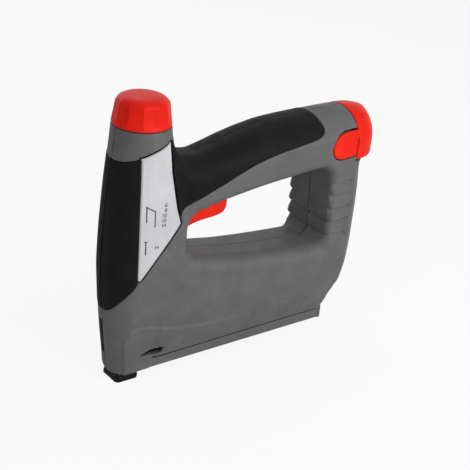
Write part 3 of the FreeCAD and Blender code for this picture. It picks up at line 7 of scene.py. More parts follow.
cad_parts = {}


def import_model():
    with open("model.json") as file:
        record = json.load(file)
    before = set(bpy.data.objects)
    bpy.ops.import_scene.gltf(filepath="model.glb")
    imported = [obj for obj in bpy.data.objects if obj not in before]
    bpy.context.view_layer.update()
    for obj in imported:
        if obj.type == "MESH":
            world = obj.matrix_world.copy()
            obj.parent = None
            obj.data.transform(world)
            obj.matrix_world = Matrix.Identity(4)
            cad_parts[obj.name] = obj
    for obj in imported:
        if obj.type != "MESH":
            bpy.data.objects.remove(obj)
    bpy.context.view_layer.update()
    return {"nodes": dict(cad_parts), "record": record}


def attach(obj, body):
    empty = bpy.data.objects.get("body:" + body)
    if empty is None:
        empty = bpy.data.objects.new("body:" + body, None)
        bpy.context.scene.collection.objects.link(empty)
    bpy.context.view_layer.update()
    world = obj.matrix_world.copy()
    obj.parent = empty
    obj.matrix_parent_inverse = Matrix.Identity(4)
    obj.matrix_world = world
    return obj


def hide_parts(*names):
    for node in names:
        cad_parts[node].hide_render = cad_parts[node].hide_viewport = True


# Cordless stapler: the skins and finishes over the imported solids.
# Shapes are worked out in millimetres, in the part's own frame, and become metres in mesh_of().

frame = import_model()

# The moulded halves and what lies in them: walls, gaps and grooves

WALL = 2.6
STAND = 0.35
DEPTH = 1.2
LINE = 0.34
SEAM = 0.3
PALM_SEAM = -0.25
LABEL_GROOVE = 1.1
RIM_SINK = 0.35

# Levels (z) and stations (x) where pieces meet

TOWER_TOP = 190.0
SKIRT_TOP = 38
SOLE = 17.6
CHIN = 7.2
RAIL_FRONT = 13.9
CAP_FACE = 177.0
POST_TOP = 143.5
HANDLE_FRONT = 10
DECK_FRONT = -8
DECK_REAR = 176
POST_CROWN = 166

# Half-width of the body at its sole, and the rounding of its edges

SOLE_SIDE = 14.6
SKIRT_BLEND = 2.5
EDGE_ROUND = 1.2
BORE_ROUND = 0.6
HOLE_ROUND = 0.7
POCKET_ROUND = 0.5
HALF_ROUND = 0.9


# Small functions for fields


def smooth_max(a, b, size):
    """The larger of two fields, with the corner between them blended over a size."""
    near = np.maximum(size - np.abs(a - b), 0) / size
    return np.maximum(a, b) + near * near * size / 4


def smooth_min(a, b, size):
    """The smaller of two fields, blended in the same way."""
    near = np.maximum(size - np.abs(a - b), 0) / size
    return np.minimum(a, b) - near * near * size / 4


def round_union(a, b, radius):
    """Two solids joined, with a fillet of this radius."""
    corner = np.hypot(np.maximum(radius - a, 0), np.maximum(radius - b, 0))
    return np.maximum(radius, np.minimum(a, b)) - corner


def round_meet(a, b, radius):
    """What two solids share, with its edge rounded to this radius."""
    corner = np.hypot(np.maximum(a + radius, 0), np.maximum(b + radius, 0))
    return np.minimum(np.maximum(a, b) + radius, 0) + corner - radius


def step_between(value, start, end):
    """Rises smoothly from 0 to 1 between two values."""
    t = np.clip((value - start) / (end - start), 0, 1)
    return t * t * (3 - 2 * t)


CURVE_POINTS = 1600


def curve(*points):
    """A smooth curve through the points that never overshoots them."""
    place, value = np.array(points, float).T
    gap = np.diff(place)
    slope = np.diff(value) / gap
    lean = np.empty_like(value)
    lean[0] = slope[0]
    lean[-1] = slope[-1]
    same = slope[:-1] * slope[1:] > 0
    total = np.where(same, slope[:-1] + slope[1:], 1)
    lean[1:-1] = np.where(same, 2 * slope[:-1] * slope[1:] / total, 0)
    at = np.linspace(place[0], place[-1], CURVE_POINTS)
    i = np.clip(np.searchsorted(place, at, side="right") - 1, 0, len(place) - 2)
    t = (at - place[i]) / gap[i]
    drawn = (
        value[i] * (1 + 2 * t) * (1 - t) ** 2
        + value[i + 1] * t * t * (3 - 2 * t)
        + gap[i] * lean[i] * t * (1 - t) ** 2
        - gap[i] * lean[i + 1] * t * t * (1 - t)
    )
    return lambda q: np.interp(q, at, drawn)


def softened(points, times, keep=()):
    """A closed outline with its corners cut round, apart from those in keep."""
    line = [(np.array(p, float), i in keep) for i, p in enumerate(points)]
    for _ in range(times):
        cut = []
        for i, (p, fixed) in enumerate(line):
            before = line[i - 1][0]
            after = line[(i + 1) % len(line)][0]
            if fixed:
                cut.append((p, True))
            else:
                cut.append((p + (before - p) * 0.25, False))
                cut.append((p + (after - p) * 0.25, False))
        line = cut
    return np.array([p for p, _ in line])


def outline_distance(points, x, z):
    """Signed distance to a closed outline in the side view, negative inside."""
    best = np.full(np.broadcast(x, z).shape, np.inf)
    inside = np.zeros(best.shape, bool)
    for (ax, az), (bx, bz) in zip(points, np.roll(points, -1, 0)):
        ux, uz = bx - ax, bz - az
        long = ux * ux + uz * uz
        if long < 1e-12:
            continue
        t = np.clip(((x - ax) * ux + (z - az) * uz) / long, 0, 1)
        best = np.minimum(best, (x - ax - t * ux) ** 2 + (z - az - t * uz) ** 2)
        if bz != az:
            crosses = (az > z) != (bz > z)
            inside ^= crosses & (x < ax + (z - az) * ux / uz)
    return np.where(inside, -1, 1) * np.sqrt(best)


class Chart:
    """Values over the side view, read smoothly between its points."""

    low = (-34.0, -6.0)
    high = (214.0, 226.0)
    pitch = 0.4

    @classmethod
    def grid(cls):
        """The places of the values, as a column of x and a row of z."""
        x = np.arange(cls.low[0], cls.high[0], cls.pitch)
        z = np.arange(cls.low[1], cls.high[1], cls.pitch)
        return x[:, None], z[None, :]

    def __init__(self, values):
        x, z = self.grid()
        self.values = np.broadcast_to(values, np.broadcast(x, z).shape).astype(float)

    def __call__(self, x, z):
        rows, columns = self.values.shape
        u = np.clip((x - self.low[0]) / self.pitch, 0, rows - 1.001)
        w = np.clip((z - self.low[1]) / self.pitch, 0, columns - 1.001)
        i = u.astype(int)
        k = w.astype(int)
        u = u - i
        w = w - k
        v = self.values
        near = v[i, k] * (1 - w) + v[i, k + 1] * w
        far = v[i + 1, k] * (1 - w) + v[i + 1, k + 1] * w
        return near * (1 - u) + far * u


# The body's side view, half-width and edge rounding


tower_front = curve(
    (-6, 8), (7.2, 12.8), (12, 15.0), (19, 15.9), (37, 18.3), (58, 20.5), (74, 21.7), (93, 22.8),
    (112, 22.6), (148, 21.0), (171, 19.2), (190, 17.9), (226, 15),
)
tower_side = curve(
    (-6, 11), (7.2, 11.6), (12, 12.2), (60, 18.6), (112, 21.2), (164, 20.9), (190, 20.3),
    (226, 20),
)
tower_rear = curve(
    (-6, 39), (60, 39), (84, 36.6), (100, 35), (122, 34.6), (140, 31.5), (155, 27), (168, 23.8),
    (190, 22.1), (226, 20),
)
tower_bend = curve(
    (-6, 3), (12, 3), (60, 7), (112, 8), (150, 12), (168, 16), (190, 19.8), (226, 19.8),
)
handle_top = curve(
    (-34, 171), (17, 171), (26, 169.4), (35, 165.8), (46, 164.1), (58, 166.4), (75, 171.3),
    (92, 175.3), (109, 178.0), (135, 179.7), (175, 180.7), (214, 180.7),
)
handle_under = curve(
    (-34, 119), (17, 119), (30, 121), (47, 126), (60, 129.2), (80, 132.9), (102, 136.3),
    (122, 138.6), (137, 140.2), (160, 141.8), (177, 143.5), (214, 147),
)
handle_bend = curve(
    (-34, 17), (46, 17), (60, 17.5), (80, 19.5), (95, 20.8), (115, 22.2), (135, 23.8), (175, 25.2),
    (214, 25.2),
)
handle_side = curve(
    (-34, 18.5), (17, 18.6), (46, 20.6), (92, 22.8), (135, 24.4), (175, 25.2), (214, 25.2),
)
deck_top = curve(
    (-34, 40), (-8, 58), (20, 94), (47, 91.2), (66, 87.6), (85, 84.6), (135, 79.8), (176, 77.5),
    (214, 77),
)
deck_side = curve((-34, 15), (-8, 15.6), (20, 19.8), (85, 23.2), (176, 25), (214, 25))
post_inner = curve((-6, 158.8), (80, 158.8), (110, 158.0), (143.5, 155.2), (226, 152))
post_outer = curve(
    (-6, 168), (17.6, 175), (24, 175.4), (30, 176.6), (36, 180.4), (41, 185.4), (48, 191.4),
    (60, 194.6), (80, 195.8), (104, 195.9), (122, 195.2), (143.5, 193.2), (226, 190),
)
post_side = curve((-6, 20), (30, 21), (46, 25), (80, 25), (143.5, 25.2), (226, 25.2))

chart_x, chart_z = Chart.grid()

# How far the rounding of an edge and the width of a mass reach into their neighbours

EDGE_REACH = 5
BLEND_REACH = 3.5


def slope_scale(line, at):
    """How much an upright gap to a line shrinks where the line slopes."""
    return 1 / np.sqrt(1 + (line(at + 0.5) - line(at - 0.5)) ** 2)


def mass(width, *edges):
    """One solid of the body: its distance in the side view, half-width and edge rounding."""
    far = -np.inf
    bend = 0
    total = 0
    for away, radius in edges:
        weight = 1 / (1 + (away / EDGE_REACH) ** 2) ** 2
        bend = bend + weight * radius
        total = total + weight
        far = np.maximum(far, away)
    return far, width, bend / total


def side_parts(x, z):
    """The solids of the body: tower, handle, the deck below the opening, and the rear post."""
    slant = SOLE_SIDE + (z - SOLE) * (deck_side(x) - SOLE_SIDE) / (SKIRT_TOP - SOLE)
    skirt = smooth_min(deck_side(x), slant, SKIRT_BLEND)
    post_skirt = smooth_min(post_side(z), slant, SKIRT_BLEND)
    tower = mass(
        tower_side(z),
        (-tower_front(z) - x, tower_side(z)),
        (x - tower_rear(z), tower_bend(z)),
    )
    handle = mass(
        handle_side(x),
        ((z - handle_top(x)) * slope_scale(handle_top, x), handle_bend(x)),
        ((handle_under(x) - z) * slope_scale(handle_under, x), 8.5),
        (HANDLE_FRONT - x, 12.0),
    )
    deck = mass(
        skirt,
        ((z - deck_top(x)) * slope_scale(deck_top, x), 11.0),
        (DECK_FRONT - x, 11.0),
        (x - DECK_REAR, 8.0),
    )
    post = mass(
        post_skirt,
        (post_inner(z) - x, 5.0),
        (x - post_outer(z), 23.0),
        (z - POST_CROWN, 14.0),
    )
    return tower, handle, deck, post


def side_charts():
    """The whole body's distance in the side view, half-width and edge rounding."""
    tower, handle, deck, post = side_parts(chart_x, chart_z)
    away = tower[0]
    for part, fillet in ((handle, 8.0), (deck, 8.0), (post, 7.0)):
        away = round_union(away, part[0], fillet)
    width = 0
    bend = 0
    total = 0
    for far, side, radius in (tower, handle, deck, post):
        weight = np.exp(-np.clip(far, -40, 40) / BLEND_REACH)
        width = width + weight * side
        bend = bend + weight * radius
        total = total + weight
    width = width / total
    bend = np.minimum(bend / total, width)
    return Chart(away), Chart(width), Chart(bend)


AWAY, WIDTH, BEND = side_charts()


# Outlines of the rubber and the label in the side view

front_line = [
    (-39.2, 58.6), (-20.4, 58.3), (-19.3, 60.4), (-16.9, 65.3), (-13.0, 71.9), (-8.1, 78.3),
    (-5.6, 82.9), (-6.3, 88.0), (-7.6, 124.0), (-8.2, 172.9), (-13.6, 170.8), (-18.6, 168.2),
    (-39.2, 167.0),
]
label_line = [
    (-6.3, 88.0), (-5.6, 85.4), (-4.2, 84.6), (-2.1, 86.8), (8.4, 100.4), (19.1, 113.8),
    (25.2, 122.5), (22.9, 131.1), (19.5, 143.4), (17.2, 153.2), (14.9, 162.0), (14.3, 169.8),
    (14.4, 181.3), (7.8, 178.9), (-3.3, 175.0), (-8.2, 172.9), (-7.6, 124.0),
]
grip_line = [
    (25.2, 122.5), (25.6, 128.7), (27.6, 131.9), (31.1, 133.9), (40.4, 137.1), (48.6, 140.7),
    (61.5, 146.0), (74.5, 151.9), (87.9, 157.3), (105.9, 161.3), (119.9, 163.5), (136.8, 165.7),
    (143.9, 167.6), (147.0, 171.0), (145.3, 177.5), (144.5, 181.0), (144.5, 197.6), (29.4, 197.6),
    (23.1, 180.6), (14.4, 181.3), (14.3, 169.8), (14.9, 162.0), (17.2, 153.2), (19.5, 143.4),
    (22.9, 131.1),
]


def chart_of(points):
    """The distance to an outline, worked out once over the side view."""
    return Chart(outline_distance(np.array(points), chart_x, chart_z))


FRONT = chart_of(softened(front_line, 2, (0, 9, 12)))
LABEL = chart_of(softened(label_line, 2, (6, 12, 15)))
GRIP = chart_of(softened(grip_line, 2, (0, 16, 17, 19, 24)))


# Low relief of the sides

RIB_LEVELS = (129.6, 119.4, 108.8, 98.5, 87.5)
RIB_CUT = 2.4
RIB_BEAD = 0.6
RIB_TAPER = 7.0
RIB_ROOT = 157
RIB_LEAN = 0.05
RIB_START = (157.6, 160.6)
RIB_END = (173.6, 178.6)
SWELL_HEIGHT = 1.3
SWELL_DROP = 0.8
SWELL_FADE = (20, 110)
SWELL_START = (-20, -12)
SWELL_RIM = 1.2
MAGAZINE_SWELL = softened([
    (-40, -10), (-7.0, -10), (-7.4, 11.7), (-10.3, 29.2), (-10.7, 35.3), (-10.3, 40.7),
    (-7.1, 44.8), (-0.9, 45.9), (7.3, 44.4), (38.3, 39.7), (49.5, 37.5), (89.7, 37.2),
    (125.5, 38.8), (148.3, 39.9), (220, 41), (220, -10),
], 2, (0, 14, 15))


def relief_chart():
    """The ribs of the rear post and the swelling over the magazine."""
    x = chart_x
    z = chart_z
    lift = np.zeros(np.broadcast(x, z).shape)
    for level in RIB_LEVELS:
        below = level + (x - RIB_ROOT) * RIB_LEAN - z
        cut = np.where(below > 0, np.clip(1 - below / RIB_TAPER, 0, 1), 0)
        cut = cut * step_between(below, -0.25, 0.35)
        ends = step_between(x, *RIB_START) * (1 - step_between(x, *RIB_END))
        bead = RIB_BEAD * np.exp(-((below + 1.0) / 0.9) ** 2)
        lift = lift + (bead - RIB_CUT * cut) * ends
    away = outline_distance(MAGAZINE_SWELL, x, z)
    height = SWELL_HEIGHT - SWELL_DROP * step_between(x, *SWELL_FADE)
    swell = height * (1 - step_between(away, -SWELL_RIM, SWELL_RIM))
    lift = lift + swell * step_between(x, *SWELL_START)
    return Chart(lift)


RELIEF = relief_chart()


def hull(x, y, z):
    """The body's outer surface as a field."""
    width = WIDTH(x, z)
    bend = BEND(x, z)
    return round_meet(AWAY(x, z), np.abs(y) - width, bend) - RELIEF(x, z)


def block(x, y, z, low, high):
    """Distance to a box."""
    parts = [np.maximum(a - v, v - b) for v, a, b in zip((x, y, z), low, high)]
    return np.maximum(np.maximum(parts[0], parts[1]), parts[2])


# Openings and screws

SLOT = chart_of(softened([
    (3.2, 21.2), (7.5, 19.6), (21.2, 19.9), (21.9, 24.6), (20.6, 26.3), (9.0, 23.7),
], 1))
TAB = chart_of(softened([
    (152.7, 156.8), (153.7, 161.7), (157.4, 165.9), (161.5, 167.8), (166.1, 168.6), (171.8, 168.9),
    (177.0, 169.0), (177.0, 148.5), (168.6, 147.6), (163.6, 147.2), (159.6, 147.6), (156.4, 149.1),
    (154.0, 152.2),
], 2, (6, 7)))
SCREWS = (
    (36.1, 153.5), (96.0, 141.0), (167.0, 134.1), (184.2, 64.6), (167.0, 35.2), (104.1, 73.0),
    (30.6, 106.4), (25.1, 30.0),
)
BOSS_RADIUS = 5.6
BOSS_FOOT = 9.0
BORE_RADIUS = 3.35
BORE_FLOOR = 11.0
NOSE_HOLE = ((-10.35, -1, -1), (14, 9.05, 20.2))
PLATE_HOLE = ((-11.35, -1, 17.6), (7, 9.05, 40.35))
TRIGGER_HOLE = ((34.2, -1, 99.6), (76.8, 8.95, 134.2))
TRIGGER_GAP = ((38.6, -9, 99.2), (77.2, 9, 134.6))
KNOB_AXIS = 2
KNOB_BORE = 4.5
KNOB_BORE_FOOT = 180
TAB_PLAY = 0.3
TAB_POCKET_SIDE = 18.05
SLOT_FLOOR_SIDE = 10.6


def label_groove_shade(x, z):
    """The groove round the label, as a distance in the side view; the groove is filled with painted
    shade.
    """
    around = np.maximum(LABEL(x, z) - LABEL_GROOVE, 0.05 - LABEL(x, z))
    return np.maximum(around, 0.1 - FRONT(x, z))


def palm_area(x, z):
    """The palm rubber's region, kept clear of the groove round the label."""
    return np.maximum(GRIP(x, z), LABEL_GROOVE + 0.05 - LABEL(x, z))


SLIT_Y, SLIT_Z = 2.4, 35.5
SLIT_HALF_WIDTH, SLIT_HALF_HEIGHT = 2.0, 14.0
SLIT_ROUND = 1.6


def slit_area(y, z):
    """The slit in the front of the far half, whose floor is painted dark for the shade inside it.
    """
    across = np.abs(y - SLIT_Y) - SLIT_HALF_WIDTH
    return round_meet(across, np.abs(z - SLIT_Z) - SLIT_HALF_HEIGHT, SLIT_ROUND)


def housing_field(x, y, z, far):
    """One half: a wall with bosses, pockets for the rubber and the label, and its openings."""
    skin = hull(x, y, z)
    outer = smooth_max(skin, z - TOWER_TOP, EDGE_ROUND)
    outer = smooth_max(outer, CHIN - z, EDGE_ROUND)
    outer = smooth_max(outer, -np.maximum(z - SOLE, RAIL_FRONT - x), 0.35)
    outer = smooth_max(outer, -np.maximum(CAP_FACE - x, POST_TOP - z), 1.0)
    inner = skin + WALL
    inner = np.maximum(inner, z - TOWER_TOP + WALL)
    inner = np.maximum(inner, SOLE + WALL - z)
    solid = np.maximum(outer, -inner)
    if far:
        for sx, sz in SCREWS:
            ring = np.hypot(x - sx, z - sz)
            boss = np.maximum(np.maximum(ring - BOSS_RADIUS, BOSS_FOOT - y), outer)
            solid = np.minimum(solid, boss)
            bore = np.maximum(ring - BORE_RADIUS, BORE_FLOOR - y)
            solid = smooth_max(solid, -bore, BORE_ROUND)
    covered = np.minimum(np.minimum(FRONT(x, z), LABEL(x, z) - LABEL_GROOVE), GRIP(x, z))
    pocket = np.maximum(-(skin + DEPTH), covered - LINE)
    solid = smooth_max(solid, -pocket, POCKET_ROUND)
    if far:
        slit = np.maximum(np.maximum(slit_area(y, z), x), -(skin + DEPTH))
        solid = smooth_max(solid, -slit, POCKET_ROUND)
    side = np.abs(y)
    nose = block(x, side, z, *NOSE_HOLE)
    plate = block(x, side, z, *PLATE_HOLE)
    trigger = block(x, side, z, *TRIGGER_HOLE)
    tab = np.maximum(TAB(x, z) - TAB_PLAY, TAB_POCKET_SIDE - side)
    wedge = np.maximum(SLOT(x, z), SLOT_FLOOR_SIDE - side)
    knob = np.maximum(np.hypot(x - KNOB_AXIS, y) - KNOB_BORE, KNOB_BORE_FOOT - z)
    for hole in (nose, plate, knob):
        solid = np.maximum(solid, -hole)
    for hole in (trigger, tab, wedge):
        solid = smooth_max(solid, -hole, HOLE_ROUND)
    half = (SEAM - y) if far else (y + SEAM)
    return smooth_max(solid, half, HALF_ROUND)


def layer_field(x, y, z, far, chart, stand, seam=SEAM):
    """A skin moulded or stuck on the body over one region of its side."""
    skin = hull(x, y, z)
    edge = chart(x, z) + 0.02
    solid = smooth_max(skin - stand, edge, 0.9)
    solid = np.maximum(solid, -(skin + DEPTH))
    solid = smooth_max(solid, z - TOWER_TOP, 0.6)
    half = (seam - y) if far else (y + seam)
    return smooth_max(solid, half, 3.0 * abs(seam))


LABEL_STAND = 0.05
RIM_HEIGHT = 0.3
RIM_INSET = 1.2
RIM_WIDTH = 0.6


def label_field(x, y, z, far):
    """The label: a plate with a low raised rim inside its edge."""
    rim = RIM_HEIGHT * np.exp(-((LABEL(x, z) + RIM_INSET) / RIM_WIDTH) ** 2)
    return layer_field(x, y, z, far, LABEL, LABEL_STAND + rim)


# From a field to a mesh: slab of rows worked at once, and shares of a cell

SLAB = 8
SLOPE_REACH = 0.2
POINT_HOLD = 0.06
CELL_SLACK = 0.1


def contour(field, low, high, step):
    """Dual contouring: one point in each cell that the surface crosses, placed by its slopes."""
    axes = [np.arange(a, b + step, step) for a, b in zip(low, high)]
    values = np.empty([len(a) for a in axes], np.float32)
    for start in range(0, len(axes[1]), SLAB):
        rows = slice(start, start + SLAB)
        values[:, rows, :] = field(
            axes[0][:, None, None], axes[1][rows][None, :, None], axes[2][None, None, :],
        )
    inside = values < 0
    shape = np.array(values.shape)
    origin = np.array([a[0] for a in axes])
    points = []
    cells = []
    flips = []
    for axis in range(3):
        near = [slice(None)] * 3
        far = [slice(None)] * 3
        near[axis] = slice(None, -1)
        far[axis] = slice(1, None)
        near = tuple(near)
        far = tuple(far)
        at = np.argwhere(inside[near] != inside[far])
        others = [a for a in range(3) if a != axis]
        keep = np.ones(len(at), bool)
        for other in others:
            keep &= (at[:, other] > 0) & (at[:, other] < shape[other] - 1)
        at = at[keep]
        a = values[near][tuple(at.T)]
        b = values[far][tuple(at.T)]
        t = a / (a - b)
        place = at.astype(float)
        place[:, axis] += t
        points.append(origin + place * step)
        corner = []
        for du, dv in ((-1, -1), (0, -1), (0, 0), (-1, 0)):
            cell = at.copy()
            cell[:, others[0]] += du
            cell[:, others[1]] += dv
            corner.append(cell @ np.array([shape[1] * shape[2], shape[2], 1]))
        cells.append(np.stack(corner, 1))
        flips.append((a < 0) ^ (axis == 1))
    points = np.concatenate(points)
    cells = np.concatenate(cells)
    flips = np.concatenate(flips)
    reach = SLOPE_REACH * step
    slopes = np.stack([
        field(*(points + off).T) - field(*(points - off).T)
        for off in np.eye(3) * reach
    ], 1)
    slopes /= np.maximum(np.linalg.norm(slopes, axis=1, keepdims=True), 1e-9)
    names, index = np.unique(cells.ravel(), return_inverse=True)
    index = index.reshape(cells.shape)
    many = len(names)
    spot = index.ravel()
    total = np.bincount(spot, minlength=many).astype(float)

    def gather(v):
        """One value of each crossing, summed over the four cells round it."""
        return np.bincount(spot, weights=np.repeat(v, 4), minlength=many)

    middle = np.stack([gather(points[:, i]) for i in range(3)], 1) / total[:, None]
    plane = (points * slopes).sum(1)
    square = np.empty((many, 3, 3))
    for i in range(3):
        for k in range(i, 3):
            square[:, i, k] = gather(slopes[:, i] * slopes[:, k])
            square[:, k, i] = square[:, i, k]
    right = np.stack([gather(slopes[:, i] * plane) for i in range(3)], 1)
    right -= np.einsum("nij,nj->ni", square, middle)
    square += np.eye(3) * POINT_HOLD * total[:, None, None]
    shift = np.linalg.solve(square, right[..., None])[..., 0]
    grid = np.stack(np.unravel_index(names, tuple(shape)), 1)
    low_corner = origin + grid * step
    points = np.clip(
        middle + shift, low_corner - CELL_SLACK * step, low_corner + (1 + CELL_SLACK) * step,
    )
    faces = np.where(flips[:, None], index, index[:, ::-1])
    return points, faces


def convexity(points, faces, step):
    """How far each point stands out of its neighbours, for wear along edges."""
    many = len(points)
    total = np.zeros((many, 3))
    count = np.zeros(many)
    normal = np.zeros((many, 3))
    corner = points[faces]
    flat = np.cross(corner[:, 2] - corner[:, 0], corner[:, 3] - corner[:, 1])
    for k in range(4):
        a = faces[:, k]
        b = faces[:, (k + 1) % 4]
        for i in range(3):
            total[:, i] += np.bincount(a, weights=points[b, i], minlength=many)
            total[:, i] += np.bincount(b, weights=points[a, i], minlength=many)
            normal[:, i] += np.bincount(a, weights=flat[:, i], minlength=many)
        count += np.bincount(a, minlength=many) + np.bincount(b, minlength=many)
    normal /= np.maximum(np.linalg.norm(normal, axis=1, keepdims=True), 1e-9)
    out = ((points - total / np.maximum(count, 1)[:, None]) * normal).sum(1) / step
    for _ in range(2):
        blurred = np.zeros(many)
        for k in range(4):
            a = faces[:, k]
            b = faces[:, (k + 1) % 4]
            blurred += np.bincount(a, weights=out[b], minlength=many)
            blurred += np.bincount(b, weights=out[a], minlength=many)
        out = 0.5 * out + 0.5 * blurred / np.maximum(count, 1)
    return np.clip(out * 5, 0, 1)


def mesh_of(name, points, faces, sharp=38.0):
    """A mesh in metres from points in millimetres and faces with as many corners each."""
    corners = faces.shape[1]
    mesh = bpy.data.meshes.new(name)
    mesh.vertices.add(len(points))
    mesh.vertices.foreach_set("co", (points * 0.001).astype(np.float32).ravel())
    mesh.loops.add(faces.size)
    mesh.loops.foreach_set("vertex_index", faces.astype(np.int32).ravel())
    mesh.polygons.add(len(faces))
    mesh.polygons.foreach_set("loop_start", np.arange(len(faces), dtype=np.int32) * corners)
    mesh.update(calc_edges=True)
    mesh.validate()
    mesh.shade_smooth()
    mesh.set_sharp_from_angle(angle=math.radians(sharp))
    return mesh


def placed(name, data):
    """A new object in the scene."""
    made = bpy.data.objects.new(name, data)
    bpy.context.scene.collection.objects.link(made)
    return made


def piece(name, mesh, finish, body, nodes=()):
    """A visible piece: it rides on a body and may stand for CAD nodes."""
    made = placed(name, mesh)
    made.data.materials.append(finish)
    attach(made, body)
    if nodes:
        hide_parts(*nodes)


def carve(name, field, low, high, step, finish, body, nodes=()):
    """A piece drawn from a field, with its wear kept as an attribute."""
    points, faces = contour(field, low, high, step)
    mesh = mesh_of(name, points, faces)
    if len(mesh.vertices) == len(points):
        worn = mesh.attributes.new("edge", "FLOAT", "POINT")
        worn.data.foreach_set("value", convexity(points, faces, step).astype(np.float32))
    piece(name, mesh, finish, body, nodes)


# Materials


def linear(code):
    """A written sRGB colour as the shader wants it."""
    parts = [int(code[i:i + 2], 16) / 255 for i in (0, 2, 4)]
    light = [v / 12.92 if v <= 0.04045 else ((v + 0.055) / 1.055) ** 2.4 for v in parts]
    return (*light, 1.0)


def material(name, dark, light, grain, bump, rough, metal=0.0, coat=0.0, wear=0.25,
             worn="9a9a9a", cloud=18.0, speckle=None, stretch=(1, 1, 1), gloss=0.5):
    """A finish: grain in millimetres, patchy tone, uneven gloss and worn edges."""
    made = bpy.data.materials.new(name)
    made.use_nodes = True
    tree = made.node_tree
    nodes = tree.nodes
    links = tree.links
    nodes.clear()
    out = nodes.new("ShaderNodeOutputMaterial")
    shader = nodes.new("ShaderNodeBsdfPrincipled")
    links.new(shader.outputs["BSDF"], out.inputs["Surface"])
    shader.inputs["Metallic"].default_value = metal
    shader.inputs["Coat Weight"].default_value = coat
    shader.inputs["Coat Roughness"].default_value = 0.12
    shader.inputs["Specular IOR Level"].default_value = gloss
    place = nodes.new("ShaderNodeTexCoord")
    spread = nodes.new("ShaderNodeMapping")
    spread.inputs["Scale"].default_value = stretch
    links.new(place.outputs["Object"], spread.inputs["Vector"])

    def noise(size, detail, roughness=0.5):
        """Noise with patches of about this size in millimetres."""
        drawn = nodes.new("ShaderNodeTexNoise")
        drawn.inputs["Scale"].default_value = 1000.0 / size
        drawn.inputs["Detail"].default_value = detail
        drawn.inputs["Roughness"].default_value = roughness
        links.new(spread.outputs["Vector"], drawn.inputs["Vector"])
        return drawn.outputs["Fac"]

    def ranged(source, low, high, to_low, to_high):
        """A value stretched from one range to another, and held at its ends."""
        mapped = nodes.new("ShaderNodeMapRange")
        mapped.inputs["From Min"].default_value = low
        mapped.inputs["From Max"].default_value = high
        mapped.inputs["To Min"].default_value = to_low
        mapped.inputs["To Max"].default_value = to_high
        links.new(source, mapped.inputs["Value"])
        return mapped.outputs["Result"]

    def product(a, b):
        """Two values multiplied."""
        times = nodes.new("ShaderNodeMath")
        times.operation = "MULTIPLY"
        links.new(a, times.inputs[0])
        links.new(b, times.inputs[1])
        return times.outputs["Value"]

    def mixed(share, base, over):
        """A colour with another laid over it by a share."""
        blend = nodes.new("ShaderNodeMix")
        blend.data_type = "RGBA"
        links.new(share, blend.inputs["Factor"])
        links.new(base, blend.inputs["A"])
        blend.inputs["B"].default_value = linear(over)
        return blend.outputs["Result"]

    patches = noise(cloud, 5.0, 0.6)
    tone = nodes.new("ShaderNodeValToRGB")
    tone.color_ramp.elements[0].position = 0.35
    tone.color_ramp.elements[0].color = linear(dark)
    tone.color_ramp.elements[1].position = 0.68
    tone.color_ramp.elements[1].color = linear(light)
    links.new(patches, tone.inputs["Fac"])
    colour = tone.outputs["Color"]
    if speckle:
        colour = mixed(ranged(noise(0.45, 2.0), 0.55, 0.72, 0.0, 0.75), colour, speckle)
    edge = nodes.new("ShaderNodeAttribute")
    edge.attribute_name = "edge"
    rubbed = product(
        ranged(edge.outputs["Fac"], 0.25, 1.0, 0.0, wear),
        ranged(noise(6.0, 6.0, 0.7), 0.42, 0.62, 0.0, 1.0),
    )
    links.new(mixed(rubbed, colour, worn), shader.inputs["Base Color"])
    links.new(ranged(noise(7.0, 6.0, 0.65), 0.3, 0.7, *rough), shader.inputs["Roughness"])
    fine = nodes.new("ShaderNodeBump")
    fine.inputs["Strength"].default_value = bump
    fine.inputs["Distance"].default_value = grain * 0.001 * 0.5
    links.new(noise(grain, 3.0, 0.6), fine.inputs["Height"])
    links.new(fine.outputs["Normal"], shader.inputs["Normal"])
    return made


BODY = material(
    "moulded body", "59595A", "636364", grain=0.55, bump=0.35, rough=(0.45, 0.6),
    worn="868689", gloss=0.2,
)
FRONT_RUBBER = material(
    "front rubber", "0D0D0D", "141414", grain=0.4, bump=0.3, rough=(0.55, 0.7),
    worn="2A2A2B", gloss=0.1,
)
GRIP_RUBBER = material(
    "palm rubber", "0F0F10", "151516", grain=0.5, bump=0.35, rough=(0.5, 0.65),
    worn="2C2C2E", gloss=0.08,
)
# Painted shade: a near-black finish put in gaps, grooves and openings, standing in for the shade
# inside them
SHADE_BLACK = material(
    "painted shade black", "070708", "0C0C0D", grain=0.4, bump=0.2, rough=(0.6, 0.75),
    worn="1C1C1E", gloss=0.1,
)
LABEL_SILVER = material(
    "label film", "BDBDC0", "CACACD", grain=0.4, bump=0.08, rough=(0.36, 0.5),
    worn="DEDEE0", wear=0.5, speckle="A6A7AA", cloud=30, gloss=0.3,
)
RED = material(
    "red gloss plastic", "DC1A0C", "EA2613", grain=0.9, bump=0.05, rough=(0.3, 0.42),
    worn="F0523A", wear=0.3, gloss=0.1,
)
NOSE_BLACK = material(
    "nose black", "0D0D0E", "151516", grain=0.5, bump=0.2, rough=(0.36, 0.5),
    worn="4C4C50", wear=0.8, gloss=0.15,
)
INK = material(
    "label ink", "3A3A3D", "47474A", grain=0.4, bump=0.05, rough=(0.45, 0.6),
    wear=0.0,
)
STEEL = material(
    "bright steel", "8E9094", "A9ABB0", grain=0.3, bump=0.15, rough=(0.24, 0.42),
    metal=1.0, stretch=(0.3, 1, 1),
)
SPRING = material(
    "spring steel", "6C6E73", "8A8C92", grain=0.3, bump=0.1, rough=(0.28, 0.45),
    metal=1.0,
)
ZINC = material(
    "cast zinc", "77797D", "8D8F93", grain=0.6, bump=0.3, rough=(0.4, 0.6),
    metal=1.0,
)
GEAR = material(
    "gear nylon", "CFC9B4", "DED8C6", grain=0.5, bump=0.15, rough=(0.35, 0.5),
    worn="E8E4D8",
)
FOAM = material(
    "foam", "3C3C3E", "4A4A4C", grain=1.0, bump=0.8, rough=(0.85, 0.95),
    worn="555557",
)
